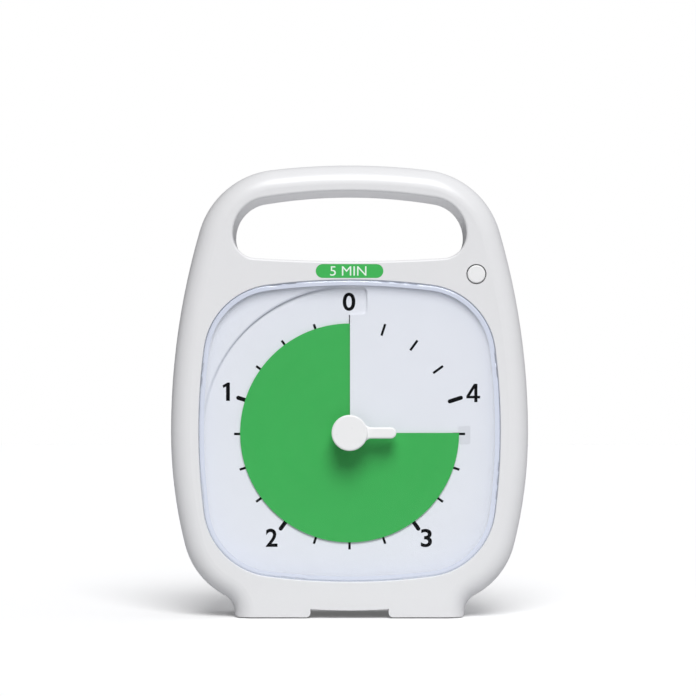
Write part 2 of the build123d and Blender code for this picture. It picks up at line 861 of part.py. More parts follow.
def zero_tab(margin, floor, top):
    """The pocket round the zero, right of the slit, grown by a margin."""
    inner = slit_reach - margin
    outer = recess_radius + margin
    width = zero_tab_width + margin
    tab = RectangleRounded(outer - inner, 2 * width, zero_tab_corner + margin)
    tab &= Pos(0, -reach / 2) * Rectangle(reach, reach)
    return Pos((inner + outer) / 2, 0, floor) * extrude(tab, amount=top - floor)


def make_dial_face():
    """The dial: a shallow screw with the slit at 12 o'clock, a recess before it and a skirt."""
    slit_edge = math.degrees(slit_width / 2 / skirt_radius)
    front = dial_rise + dial_half
    plate = strip(dial_bore / 2, reach / 2, -dial_half, dial_half)
    plate += strip(skirt_radius, skirt_radius + skirt_wall, -overall_depth / 2, 0)
    face = screw_sheet(plate, slit_edge, full_turn - slit_edge, dial_slope, 0)
    recess_edge = recess_radius + recess_wall
    cut = ring_sector(-slit_edge, recess_angle, recess_edge)
    face -= Pos(0, 0, -dial_half) * extrude(cut, amount=2 * front)
    ramp_slope = dial_slope - dial_rise / recess_angle
    border = strip(recess_radius, reach / 2, -dial_half, dial_half)
    border += strip(recess_radius, recess_edge, -dial_rise, 0)
    face += screw_sheet(border, -slit_edge, recess_angle, ramp_slope, dial_rise)
    face -= zero_tab(recess_wall, -dial_half, 2 * front)
    tray = zero_tab(recess_wall, -dial_half, front)
    face += tray - zero_tab(0, dial_half, 2 * front)
    bridge = Box(recess_edge - slit_reach, 2 * slit_width, dial_thickness)
    face += Pos((slit_reach + recess_edge) / 2, 0, 0) * bridge
    slit = Pos(slit_reach / 2, 0, 0) * Box(slit_reach, slit_width, overall_depth)
    face -= slit - Pos(0, 0, -overall_depth / 2 - dial_half) * Box(reach, reach, overall_depth)
    outline = slab(offset(window, lens_flange_width), front_y, carrier_y)
    return (dial_frame * face) & outline


def make_countdown_disk():
    """The coloured disk: one turn of the dial's screw, half a rise above and below it."""
    gap = math.degrees(disk_slot / (disk_diameter / 2))
    half = disk_thickness / 2
    section = strip(hub_radius + press_gap, disk_diameter / 2, -half, half)
    start = rest_angle - full_turn + gap
    disk = screw_sheet(section, start, rest_angle, dial_slope, dial_rise / 2)
    return dial_frame * disk


def make_disk_hub():
    """The keyed sleeve that carries the disk and slides on the spindle as it turns."""
    low = dial_rise / 2 + dial_slope * (rest_angle - full_turn) - hub_lead
    back_y = dial_low_y - low
    sleeve = rod(dial_centre, hub_radius, back_y - hub_length, back_y)
    return sleeve - slab(shaft_section(running_fit), back_y - hub_length, back_y)


def make_dial_carrier():
    """The plate behind the dial: it seats on the light trap and carries the movement."""
    plate = offset(window, carrier_margin)
    for place in (lower_boss, carrier_screw_place):
        for side in (-1, 1):
            plate += Pos(side * place[0], place[1]) * Circle(ear_radius)
            hole = screw_thread if place == lower_boss else small_screw_thread
            plate -= Pos(side * place[0], place[1]) * Circle((hole + screw_clearance) / 2)
    plate -= Pos(*dial_centre) * Circle(bush_outer / 2 + press_gap)
    for side in (-1, 1):
        plate -= Pos(side * movement_ear_x, dial_height) * Circle(small_pilot_radius)
    carrier = slab(plate, carrier_y, carrier_back_y)
    for side in (-1, 1):
        place = (0, dial_height + side * carrier_rib_offset)
        size = (carrier_rib_length, trap_wall)
        rib_back_y = carrier_back_y + carrier_rib_height
        carrier += block(place, size, carrier_back_y - touch, rib_back_y)
    return carrier


# ---- Movement ---------------------------------------------------------------------
# Each wheel turns on a bearing from the one that drives it. Modules fall down the train.
def mesh_distance(module, wheel_teeth):
    """Centre distance of a wheel and a pinion."""
    return module * (wheel_teeth + pinion_teeth) / 2


third_place = polar(dial_centre, mesh_distance(centre_module, centre_teeth), third_bearing)
second_place = polar(third_place, mesh_distance(third_module, train_teeth), second_bearing)
rotor_place = polar(second_place, mesh_distance(second_module, train_teeth), rotor_bearing)
pinion_turn = full_turn / 2 * (1 + 1 / pinion_teeth)
arbor_front_y = plate_back_y - pivot_reach
arbor_back_y = cover_inside_y + pivot_reach
stator_back_y = second_wheel_y - pinion_overlap - stator_setback
stator_front_y = stator_back_y - stator_thickness
upper_pad_top = dial_height + movement_size / 2 - movement_wall - coil_rest
upper_pad_bottom = upper_pad_top - stator_arm
lower_pad_top = rotor_place[1] + stator_pad[1] / 2
coil_z = (upper_pad_bottom + lower_pad_top) / 2
coil_y = stator_back_y + coil_core[1] / 2


def flank_angle(radius, teeth, module):
    """Half a tooth's angle at a radius, along an involute flank."""
    pitch_radius = module * teeth / 2
    base_radius = pitch_radius * math.cos(pressure_angle)
    slant = math.acos(min(1, base_radius / radius))
    opening_angle = math.tan(pressure_angle) - pressure_angle - math.tan(slant) + slant
    return math.pi / (2 * teeth) - mesh_clearance / (2 * pitch_radius) + opening_angle


def gear_outline(place, teeth, module, first_tooth):
    """An involute gear seen from the front, with one tooth on a given bearing."""
    pitch_radius = module * teeth / 2
    root = pitch_radius - tooth_root * module
    base = max(root, pitch_radius * math.cos(pressure_angle))
    tip = pitch_radius + tooth_addendum * module
    radii = [base + (tip - base) * step / flank_points for step in range(flank_points + 1)]
    if root < base:
        radii = [root] + radii
    flank = [(radius, flank_angle(radius, teeth, module)) for radius in radii]
    tooth = [(radius, -turn) for radius, turn in flank]
    tooth += [(radius, turn) for radius, turn in reversed(flank)]
    points = []
    for number in range(teeth):
        middle = first_tooth + full_turn * number / teeth
        points += [polar(place, radius, middle + math.degrees(turn)) for radius, turn in tooth]
    return make_face(Polyline(*points, close=True))


def spoked_wheel(place, teeth, module, first_tooth, front):
    """A toothed wheel with round lightening holes."""
    outline = gear_outline(place, teeth, module, first_tooth)
    hole_circle = module * teeth / 4 + wheel_hub_wall / 2
    hole = module * teeth * spoke_hole_share / 4
    for number in range(spoke_holes):
        middle = polar(place, hole_circle, first_tooth + full_turn * number / spoke_holes)
        outline -= Pos(*middle) * Circle(hole)
    return slab(outline, front, front + wheel_thickness)


def pinion(place, module, first_tooth, mate_y):
    """A pinion a little longer than the wheel that drives it."""
    outline = gear_outline(place, pinion_teeth, module, first_tooth)
    return slab(outline, mate_y - pinion_overlap, mate_y + wheel_thickness + pinion_overlap)


def make_centre_wheel():
    """The wheel that turns the spindle through the clutch."""
    wheel = spoked_wheel(dial_centre, centre_teeth, centre_module, third_bearing, centre_wheel_y)
    return wheel - rod(dial_centre, spindle_radius + running_fit, centre_wheel_y, movement_back_y)


def make_third_wheel():
    """Third wheel: its pinion drives the centre wheel."""
    wheel = spoked_wheel(third_place, train_teeth, third_module, second_bearing, third_wheel_y)
    wheel += pinion(third_place, centre_module, third_bearing + pinion_turn, centre_wheel_y)
    return wheel + rod(third_place, pivot_radius, arbor_front_y, arbor_back_y)


def make_second_wheel():
    """Second wheel: its pinion drives the third wheel."""
    wheel = spoked_wheel(second_place, train_teeth, second_module, rotor_bearing, second_wheel_y)
    wheel += pinion(second_place, third_module, second_bearing + pinion_turn, third_wheel_y)
    return wheel + rod(second_place, pivot_radius, arbor_front_y, arbor_back_y)


def make_rotor_pinion():
    """The step motor's pinion and arbor."""
    gear = pinion(rotor_place, second_module, rotor_bearing + pinion_turn, second_wheel_y)
    return gear + rod(rotor_place, pivot_radius, arbor_front_y, arbor_back_y)


def make_rotor_magnet():
    """The step motor's ring magnet."""
    back = second_wheel_y - 2 * pinion_overlap
    magnet = rod(rotor_place, rotor_magnet_radius, back - rotor_magnet_thickness, back)
    return magnet - rod(rotor_place, pivot_radius + press_gap, plate_back_y, back)


def movement_outline(inset):
    """The movement's square outline, a wall's thickness inside when inset."""
    size = movement_size - 2 * inset
    return Pos(*dial_centre) * RectangleRounded(size, size, movement_corner - inset)


def pivot_holes(front):
    """Blind bearing holes for the train's three arbors."""
    holes = Part()
    for place in (third_place, second_place, rotor_place):
        holes += rod(place, pivot_radius + running_fit, front, front + pivot_depth)
    return holes


def make_movement_frame():
    """The movement's front plate, with its ears, bearings, bush hole and board posts."""
    plate = movement_outline(0)
    for side in (-1, 1):
        ear = (side * (movement_size / 2 + movement_ear_x) / 2, dial_height)
        width = movement_ear_x - movement_size / 2 + 2 * movement_ear_radius
        plate += stadium(ear, width + movement_ear_radius, 2 * movement_ear_radius)
        hole = (small_screw_thread + screw_clearance) / 2
        plate -= Pos(side * movement_ear_x, dial_height) * Circle(hole)
    plate -= Pos(*dial_centre) * Circle(bush_outer / 2 + press_gap)
    frame = slab(plate, carrier_back_y, plate_back_y)
    for place in movement_board_posts:
        frame += rod(place, button_post, plate_back_y - touch, movement_board_y)
    for place in coil_posts:
        frame += rod(place, button_post, plate_back_y - touch, stator_front_y)
    return frame - pivot_holes(plate_back_y - pivot_depth)


def make_movement_cover():
    """The movement's back cover: side walls, back, and the rear bearings."""
    cover = slab(movement_outline(0), plate_back_y, movement_back_y)
    cover -= slab(movement_outline(movement_wall), plate_back_y, cover_inside_y)
    hole_end = cover_inside_y + pivot_depth
    cover -= rod(dial_centre, pivot_radius + running_fit, cover_inside_y, hole_end)
    return cover - pivot_holes(cover_inside_y)


def make_spindle_bush():
    """The brass bush that the spindle runs in, pressed through the carrier and the plate."""
    bush = rod(dial_centre, bush_outer / 2, bush_front_y, bush_front_y + bush_length)
    return bush - rod(dial_centre, spindle_radius + running_fit, bush_front_y, movement_back_y)


def make_stator():
    """The step motor's iron plate: a pad round the rotor, an arm and an upper pad."""
    left = stator_arm_x - stator_arm / 2
    right = coil_x + coil_core[0] / 2
    pad = Pos(right - stator_pad[0] / 2, rotor_place[1]) * Rectangle(*stator_pad)
    arm_height = upper_pad_top - rotor_place[1]
    arm = Pos(stator_arm_x, rotor_place[1] + arm_height / 2) * Rectangle(stator_arm, arm_height)
    top = Pos((left + right) / 2, upper_pad_top - stator_arm / 2)
    outline = pad + arm + top * Rectangle(right - left, stator_arm)
    outline -= Pos(*rotor_place) * Circle(rotor_magnet_radius + rotor_gap)
    return slab(outline, stator_front_y, stator_back_y)


def make_coil_core():
    """The iron bar through the coil, flat on both pads of the stator."""
    low = lower_pad_top - stator_arm
    size = (coil_core[0], upper_pad_top - low)
    centre = (coil_x, (upper_pad_top + low) / 2)
    return block(centre, size, stator_back_y, stator_back_y + coil_core[1])


def coil_layer(section, low, high):
    """A rounded sleeve round the coil core, between two heights."""
    outline = RectangleRounded(section[0], section[1], coil_corner)
    outline -= Rectangle(coil_core[0] + 2 * press_gap, coil_core[1] + 2 * press_gap)
    return Pos(coil_x, coil_y, low) * extrude(outline, amount=high - low)


def make_coil_bobbin():
    """The coil's plastic former: two flanges joined by a thin sleeve."""
    half = coil_length / 2
    sleeve = [coil_core[0] + 2 * bobbin_sleeve, coil_core[1] + 2 * bobbin_sleeve]
    hole = Rectangle(coil_core[0] + 2 * press_gap, coil_core[1] + 2 * press_gap)
    bobbin = extrude(Rectangle(*sleeve) - hole, amount=coil_length + 2 * press_gap)
    bobbin = Pos(coil_x, coil_y, coil_z - half - press_gap) * bobbin
    for low in (coil_z - half - bobbin_flange[2], coil_z + half):
        bobbin += coil_layer(bobbin_flange[:2], low, low + bobbin_flange[2])
    return bobbin


def make_coil_winding():
    """The copper winding between the bobbin's flanges."""
    half = coil_length / 2 - press_gap
    outline = RectangleRounded(coil_section[0], coil_section[1], coil_corner)
    sleeve = bobbin_sleeve + press_gap
    outline -= Rectangle(coil_core[0] + 2 * sleeve, coil_core[1] + 2 * sleeve)
    return Pos(coil_x, coil_y, coil_z - half) * extrude(outline, amount=2 * half)


movement_board_y = plate_back_y + movement_board_lift
movement_board_centre = (
    -movement_size / 2 + movement_wall + coil_rest + movement_board[0] / 2,
    dial_height + movement_size / 2 - movement_wall - coil_rest - movement_board[1] / 2,
)
movement_board_spread = movement_board[0] / 2 - board_post
movement_board_posts = [
    (movement_board_centre[0] + side * movement_board_spread, movement_board_centre[1])
    for side in (-1, 1)
]
coil_posts = [
    (coil_x, upper_pad_top - stator_arm / 2),
    (coil_x, rotor_place[1]),
]


def make_movement_board():
    """The movement's small circuit board."""
    back = movement_board_y + movement_board[2]
    return block(movement_board_centre, movement_board[:2], movement_board_y, back)


def make_quartz_crystal():
    """The crystal's can, lying on the movement board."""
    radius, length = crystal_can
    height = movement_board_centre[1]
    can = Rot(0, 90, 0) * Cylinder(radius, length)
    back = movement_board_y + movement_board[2] + radius
    return Pos(movement_board_centre[0] + length / 2, back, height) * can


def make_movement_chip():
    """The clock chip under its round drop of resin."""
    back = movement_board_y + movement_board[2]
    radius, height = resin_drop
    place = (movement_board_centre[0] - crystal_can[1], movement_board_centre[1])
    drop = rod(place, radius, back, back + height)
    return fillet(drop.faces().sort_by(Axis.Y)[-1].edges(), height - touch)


# ---- Push button and label --------------------------------------------------------
def make_push_button():
    """The sound button: cap, retaining flange and stem."""
    flange_y = front_inside_y + button_flange_gap
    cap = rod(button_place, button_diameter / 2, front_y - button_proud, flange_y)
    cap = fillet(cap.faces().sort_by(Axis.Y)[0].edges(), button_edge_radius)
    cap += rod(button_place, button_flange / 2, flange_y, flange_y + button_flange_thickness)
    return cap + rod(button_place, button_stem / 2, flange_y, switch_y + stem_engagement)


def make_button_switch():
    """The touch switch, bored for the button's stem."""
    switch = block(button_place, (switch_size, switch_size), switch_y, button_board_y)
    bore = button_stem / 2 + switch_bore_gap
    return switch - rod(button_place, bore, switch_y, switch_y + switch_bore_depth)


def make_button_board():
    """The switch's board, staked on the front shell's two posts."""
    outline = Pos(*button_place) * Rectangle(*button_board[:2])
    for place in button_posts:
        outline -= Pos(*place) * Circle(stake_pin_radius + screw_shank_gap)
    return slab(outline, button_board_y, button_board_y + button_board[2])


def make_label():
    """The inlaid label above the window."""
    outline = stadium((0, label_centre), label_width, label_height)
    return slab(outline, front_y, front_y + label_thickness)


# ---- Sound board, loudspeaker and volume knob -------------------------------------
def make_speaker_frame():
    """The loudspeaker's metal basket and magnet."""
    back_y = speaker_front_y + speaker_depth
    frame = rod(speaker_place, speaker_diameter / 2, speaker_front_y + speaker_magnet_lift, back_y)
    frame -= rod(speaker_place, speaker_cone / 2, back_y - speaker_dish, back_y)
    return frame + rod(speaker_place, speaker_magnet_radius, speaker_front_y, back_y - speaker_dish)


def make_speaker_cone():
    """The loudspeaker's dished cone."""
    back_y = speaker_front_y + speaker_depth
    outer = speaker_cone / 2 - press_gap
    middle_y = back_y - speaker_dish + press_gap
    disc = rod(speaker_place, outer, middle_y, middle_y + speaker_skin)
    dome = rod(speaker_place, speaker_dome_radius, middle_y, middle_y + 2 * speaker_skin)
    roll = rod(speaker_place, outer, middle_y, middle_y + 2 * speaker_skin)
    roll -= rod(speaker_place, outer - 2 * speaker_skin, middle_y, middle_y + 2 * speaker_skin)
    return disc + dome + roll


def make_control_board():
    """The sound board, held on four posts of the rear shell."""
    outline = Pos(*board_centre) * Rectangle(*board_size)
    hole = small_pilot_radius + screw_shank_gap / 2
    for place in board_posts:
        outline -= Pos(*place) * Circle(hole)
    return slab(outline, board_y, board_back_y)


def board_point(along, up):
    """A front-view point on the sound board, as shares of its half width and height."""
    return (board_centre[0] + along * board_size[0] / 2, board_centre[1] + up * board_size[1] / 2)


chip_place = board_point(*chip_shares)
capacitor_place = board_point(*capacitor_shares)
battery_plug_place = board_point(*battery_plug_shares)
speaker_plug_place = board_point(*speaker_plug_shares)


def make_sound_chip():
    """The sound chip."""
    return block(chip_place, chip_size[:2], board_back_y, board_back_y + chip_size[2])


def make_capacitor():
    """The round storage capacitor, with a grooved can."""
    diameter, length = capacitor_size
    can = rod(capacitor_place, diameter / 2, board_back_y, board_back_y + length)
    groove = Circle(diameter) - Circle(diameter / 2 - capacitor_groove)
    low = board_back_y + 2 * capacitor_groove
    return can - slab(Pos(*capacitor_place) * groove, low, low + 2 * capacitor_groove)


def make_plug(place, outward):
    """A wire plug on the sound board; its wires leave on the side given as a step."""
    back_y = board_back_y + plug_size[2]
    plug = block(place, plug_size[:2], board_back_y, back_y)
    edge = (place[0] + outward[0] * plug_size[0] / 2, place[1] + outward[1] * plug_size[1] / 2)
    return plug, (edge[0], board_back_y + plug_size[2] / 2, edge[1])


def make_volume_knob():
    """The fluted volume knob with its pointer line, sunk in a cup in the back."""
    knob = rod(volume_place, volume_knob / 2, volume_front_y, volume_back_y)
    knob = fillet(knob.faces().sort_by(Axis.Y)[-1].edges(), button_edge_radius)
    for number in range(volume_flutes):
        place = polar(volume_place, volume_knob / 2, full_turn * number / volume_flutes)
        knob -= rod(place, volume_flute_radius, volume_front_y, volume_back_y)
    middle = (volume_knob - volume_pointer[1]) / 2 - 2 * volume_flute_radius
    place = (volume_place[0], volume_place[1] + middle)
    knob -= block(place, volume_pointer[:2], volume_back_y - volume_pointer[2], volume_back_y)
    shaft_end = volume_back_y - volume_cup_wall
    return knob - rod(volume_place, volume_shaft / 2 + press_gap, volume_front_y, shaft_end)


def make_volume_shaft():
    """The volume control's shaft, pressed into the knob."""
    shaft_end = volume_back_y - volume_cup_wall - press_gap
    return rod(volume_place, volume_shaft / 2, volume_body_back_y + running_fit, shaft_end)


volume_body_back_y = board_back_y + volume_body[2]


def make_volume_control():
    """The volume control's body on the sound board."""
    return block(volume_place, volume_body[:2], board_back_y, volume_body_back_y)


# ---- Battery ----------------------------------------------------------------------
cell_end = bay_half_length - contact_thickness - contact_dimple[1]


def along_x(radius, low, high, depth, height):
    """A round bar from side to side."""
    return Pos((low + high) / 2, depth, height) * Rot(0, 90, 0) * Cylinder(radius, high - low)


def make_battery_cell():
    """The single AA cell, positive end to the right."""
    body_end = cell_end - cell_nub[1]
    cell = along_x(cell_diameter / 2, body_end - cell_length, body_end, cell_y, cell_height)
    cell = fillet(cell.edges(), cell_edge_radius)
    return cell + along_x(cell_nub[0] / 2, body_end - touch, cell_end, cell_y, cell_height)


def contact_plate(side):
    """A square contact plate against one end of the bay."""
    outer = side * bay_half_length
    inner = side * (bay_half_length - contact_thickness)
    size = contact_size / 2
    ends = (min(outer, inner), max(outer, inner))
    depth = (cell_y - size, cell_y + size)
    return bounds_box(ends, depth, (cell_height - size, cell_height + size))


def make_positive_contact():
    """The positive contact: a plate with a raised dimple."""
    plate = contact_plate(1)
    inner = bay_half_length - contact_thickness
    return plate + along_x(contact_dimple[0] / 2, cell_end, inner + touch, cell_y, cell_height)


def make_negative_contact():
    """The negative contact: a plate and a tapering spring."""
    plate = contact_plate(-1)
    pitch = (spring_length - spring_wire) / spring_turns
    taper = math.degrees(math.atan((spring_radii[1] - spring_radii[0]) / spring_length))
    path = Helix(pitch, spring_length - spring_wire, spring_radii[0], cone_angle=taper)
    section = Plane(path @ 0, z_dir=path % 0) * Circle(spring_wire / 2)
    coil = sweep(section, path=path, is_frenet=True)
    start = -bay_half_length + contact_thickness + spring_wire / 2 - spring_bite
    return plate + Pos(start, cell_y, cell_height) * Rot(0, 90, 0) * coil


# ---- Fasteners and foot pads ------------------------------------------------------
def screw(place, seat, tip, thread, head, head_height, outward):
    """A pan-head screw along the depth; outward is the way that its head faces."""
    head_end = seat + outward * head_height
    low, high = sorted((seat, head_end))
    part = rod(place, head / 2, low, high)
    rim = part.faces().sort_by(Axis.Y)[-1 if outward > 0 else 0].edges()
    part = fillet(rim, screw_round_share * head_height)
    slot_end = head_end - outward * cross_slot[2]
    low, high = sorted((slot_end, head_end))
    cross = Rectangle(*cross_slot[:2]) + Rectangle(cross_slot[1], cross_slot[0])
    part -= slab(Pos(*place) * cross, low, high)
    low, high = sorted((seat, tip))
    return part + rod(place, thread / 2, low, high)


def make_shell_screws():
    """Four screws that close the housing from behind."""
    tips = {lower_boss: carrier_y - screw_bite, upper_boss: split_y - upper_screw_bite}
    screws = Part()
    for place, tip in tips.items():
        seat = screw_seat_y(place)
        reach_tip = tip + screw_tip_gap
        screws += screw(place, seat, reach_tip, screw_thread, screw_head, screw_head_height, 1)
    return both_sides(screws)


def small_screw(place, seat, tip, outward):
    """One of the small screws."""
    sizes = (small_screw_thread, small_screw_head, small_screw_head_height)
    return screw(place, seat, tip, *sizes, outward)


def make_carrier_screws():
    """Two screws that hold the dial carrier's upper ears."""
    tip = carrier_y - screw_bite + screw_tip_gap
    return both_sides(small_screw(carrier_screw_place, carrier_back_y, tip, 1))


def make_movement_screws():
    """Two screws through the movement's ears into the dial carrier."""
    place = (movement_ear_x, dial_height)
    return both_sides(small_screw(place, plate_back_y, carrier_y, 1))


def make_board_screws():
    """Four screws that hold the sound board on its posts."""
    tip = board_back_y + screw_bite - screw_tip_gap
    screws = Part()
    for place in board_posts:
        screws += small_screw(place, board_y, tip, -1)
    return screws


def make_foot_pads():
    """Four rubber pads let into the feet."""
    return foot_pads_at(pad_places[0], 0) + foot_pads_at(pad_places[1], 0)


# ---- Wires ------------------------------------------------------------------------
def wire(points):
    """A wire along straight runs joined by the largest arcs that the runs allow."""
    points = [Vector(*point) for point in points]
    radii = []
    for before, corner, after in zip(points, points[1:], points[2:]):
        run_in = corner - before
        run_out = after - corner
        half_turn = math.radians(run_in.get_angle(run_out)) / 2
        shorter = min(run_in.length, run_out.length)
        radii.append(wire_arc_share * shorter / math.tan(half_turn))
    print("wire radii", [round(radius, 1) for radius in radii])
    path = FilletPolyline(*points, radius=radii)
    return sweep(Plane(path @ 0, z_dir=path % 0) * Circle(wire_diameter / 2), path=path)


def shifted(points, step):
    """The same route, moved sideways by a step."""
    return [tuple(value + move for value, move in zip(point, step)) for point in points]


def make_battery_leads(plug_edge):
    """The cell's two leads: out of the bay's ends and up to the plug on the sound board."""
    over_cover = movement_back_y + wire_diameter
    step = lead_side_step
    low, middle, high, top = [
        cell_height + share * (plug_edge[2] - cell_height) for share in lead_climb
    ]
    exit_x = plug_edge[0] + wire_pitch / 2
    red = [
        (bay_half_length, cell_y, cell_height),
        (lead_side - step / 2, cell_y, cell_height),
        (lead_side, over_cover + step / 2, middle),
        (lead_side - step, movement_back_y, top),
        (exit_x, plug_edge[1], plug_edge[2] - step),
        (exit_x, plug_edge[1], plug_edge[2]),
    ]
    exit_x = plug_edge[0] - wire_pitch / 2
    edge_x = movement_size / 2
    black = [
        (-bay_half_length, cell_y, cell_height),
        (step - lead_side, cell_y, cell_height),
        (step - lead_side, over_cover + step / 2, low),
        (-edge_x, over_cover + wire_diameter, middle),
        (0, over_cover, high),
        (edge_x + step / 2, over_cover, top),
        (exit_x, plug_edge[1], plug_edge[2] - step),
        (exit_x, plug_edge[1], plug_edge[2]),
    ]
    return wire(red), wire(black)


def make_speaker_leads(plug_edge):
    """Two leads from the loudspeaker over its ring to the plug on the sound board."""
    frame_y = speaker_front_y + speaker_magnet_lift
    start_x = speaker_place[0] + speaker_diameter / 2 - lead_side_step / 2
    bow_y = frame_y - lead_side_step - wire_pitch
    route = [
        (start_x, frame_y, plug_edge[2]),
        (start_x, bow_y, plug_edge[2]),
        ((start_x + plug_edge[0]) / 2, bow_y + wire_diameter, plug_edge[2] + wire_diameter / 2),
        (plug_edge[0] - 2 * lead_side_step, plug_edge[1], plug_edge[2]),
        plug_edge,
    ]
    upper = wire(shifted(route, (0, 0, wire_pitch / 2)))
    return upper + wire(shifted(route, (0, 0, -wire_pitch / 2)))


def make_button_leads():
    """Two leads from the button's board down to the front of the sound board."""
    start_x = button_place[0] - button_post - wire_diameter
    start_y = button_board_y + button_board[2]
    start_z = button_place[1] - button_board[1] / 2 + wire_pitch
    end_x = board_centre[0] + board_size[0] / 2 - lead_side_step - wire_pitch
    end_z = board_centre[1] + board_size[1] / 2 - board_post_inset
    route = [
        (start_x, start_y, start_z),
        (start_x, start_y + wire_bow, start_z),
        (end_x, start_y + wire_bow, end_z),
        (end_x, board_y, end_z),
    ]
    return wire(route) + wire(shifted(route, (wire_pitch, 0, 0)))


def make_movement_leads():
    """Two leads from the movement's back to the rear of the sound board."""
    start_x = lead_side_step
    start_z = dial_height + movement_size / 2 - lead_side_step - wire_pitch
    end_x = board_centre[0] - board_size[0] / 2 + 2 * lead_side_step - wire_diameter
    end_z = board_centre[1] - board_size[1] / 2 + board_post_inset + wire_diameter / 2
    middle_x = (start_x + end_x) / 2 + wire_diameter
    route = [
        (start_x, movement_back_y, start_z),
        (start_x, movement_back_y + wire_bow + wire_diameter, start_z),
        (middle_x, movement_back_y + wire_bow, start_z + lead_side_step),
        (end_x, board_back_y + wire_bow + wire_diameter, end_z),
        (end_x, board_back_y, end_z),
    ]
    return wire(route) + wire(shifted(route, (-wire_pitch, 0, 0)))


# ---- All pieces -------------------------------------------------------------------
battery_plug, battery_plug_edge = make_plug(battery_plug_place, (0, -1))
speaker_plug, speaker_plug_edge = make_plug(speaker_plug_place, (-1, 0))
red_lead, black_lead = make_battery_leads(battery_plug_edge)

parts = {
    "front_shell": make_front_shell(),
    "rear_shell": make_rear_shell(),
    "battery_door": make_battery_door(),
    "foot_pads": make_foot_pads(),
    "shell_screws": make_shell_screws(),
    "lens": make_lens(),
    "duration_label": make_label(),
    "dial_face": make_dial_face(),
    "dial_carrier": make_dial_carrier(),
    "carrier_screws": make_carrier_screws(),
    "countdown_disk": make_countdown_disk(),
    "disk_hub": make_disk_hub(),
    "setting_knob": make_knob(),
    "spindle": make_spindle(),
    "spindle_bush": make_spindle_bush(),
    "retaining_clip": make_retaining_clip(),
    "clutch_spring": make_clutch_spring(),
    "centre_wheel": make_centre_wheel(),
    "third_wheel": make_third_wheel(),
    "second_wheel": make_second_wheel(),
    "rotor_pinion": make_rotor_pinion(),
    "rotor_magnet": make_rotor_magnet(),
    "movement_frame": make_movement_frame(),
    "movement_cover": make_movement_cover(),
    "movement_screws": make_movement_screws(),
    "stator": make_stator(),
    "coil_core": make_coil_core(),
    "coil_bobbin": make_coil_bobbin(),
    "coil_winding": make_coil_winding(),
    "movement_board": make_movement_board(),
    "quartz_crystal": make_quartz_crystal(),
    "movement_chip": make_movement_chip(),
    "push_button": make_push_button(),
    "button_switch": make_button_switch(),
    "button_board": make_button_board(),
    "control_board": make_control_board(),
    "board_screws": make_board_screws(),
    "sound_chip": make_sound_chip(),
    "capacitor": make_capacitor(),
    "battery_plug": battery_plug,
    "speaker_plug": speaker_plug,
    "speaker_frame": make_speaker_frame(),
    "speaker_cone": make_speaker_cone(),
    "volume_control": make_volume_control(),
    "volume_shaft": make_volume_shaft(),
    "volume_knob": make_volume_knob(),
    "battery_cell": make_battery_cell(),
    "positive_contact": make_positive_contact(),
    "negative_contact": make_negative_contact(),
    "battery_lead_red": red_lead,
    "battery_lead_black": black_lead,
    "speaker_leads": make_speaker_leads(speaker_plug_edge),
    "button_leads": make_button_leads(),
    "movement_leads": make_movement_leads(),
}

os.makedirs("parts", exist_ok=True)
for name, part in parts.items():
    export_step(part, f"parts/{name}.step")
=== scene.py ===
"""Finishes, dial print and studio for a table-top countdown timer with a five-minute dial."""

import math

import bpy
from bpy.props import FloatProperty, FloatVectorProperty, PointerProperty
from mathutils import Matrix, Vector


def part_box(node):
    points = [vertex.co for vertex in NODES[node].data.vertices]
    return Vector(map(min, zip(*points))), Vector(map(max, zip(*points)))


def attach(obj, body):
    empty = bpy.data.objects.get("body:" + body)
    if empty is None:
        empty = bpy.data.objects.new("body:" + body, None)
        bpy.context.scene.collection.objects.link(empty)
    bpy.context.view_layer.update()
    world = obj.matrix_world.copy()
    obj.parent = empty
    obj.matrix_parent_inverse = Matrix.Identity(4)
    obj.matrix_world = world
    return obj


bl_info = {
    "name": "Countdown Timer Finishes",
    "version": (1, 1, 0),
    "blender": (4, 5, 0),
    "location": "View3D > Sidebar > Timer",
    "description": "Dresses a visual countdown timer: plastics, metals, dial print and studio",
    "category": "Object",
}

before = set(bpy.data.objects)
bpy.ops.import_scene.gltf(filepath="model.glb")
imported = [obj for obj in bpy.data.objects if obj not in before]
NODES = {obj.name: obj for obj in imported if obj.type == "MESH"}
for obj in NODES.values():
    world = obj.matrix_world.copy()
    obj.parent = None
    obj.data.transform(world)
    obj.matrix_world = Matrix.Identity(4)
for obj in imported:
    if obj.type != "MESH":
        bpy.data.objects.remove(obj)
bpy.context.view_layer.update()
MM = 0.001
FACE_ON = math.pi / 2
HOUSING = "housing_group"

# ---- The dial's screw surface, in mm, as the dial face is made ----------------------
DIAL_HEIGHT = 72.6
DIAL_LOW_Y = -11.2
DIAL_RISE = 1.6
DIAL_SKIN = 0.2
RECESS_RADIUS = 57.5
RECESS_ANGLE = 78.0

# ---- Print, in mm -------------------------------------------------------------------
# How far a print's body reaches back from its face, into the sheet that carries it.
PRINT_BODY = 0.2
MARK_COUNT = 20
MARKS_A_MINUTE = 4
# How far the middle of the ring of marks lies below the dial's.
MARK_DROP = 0.4
# Corner radius of a mark as a share of its width: round ends, and nearly square ones.
MINUTE_MARK_ROUNDING = 0.49
SHORT_MARK_ROUNDING = 0.12
# Each numeral's place from the dial's centre and its width.
NUMERALS = {
    "0": (-0.2, 51.6, 5.0),
    "1": (-48.5, 16.2, 2.9),
    "2": (-30.6, -41.2, 4.6),
    "3": (30.2, -41.3, 4.4),
    "4": (48.6, 15.7, 5.4),
}
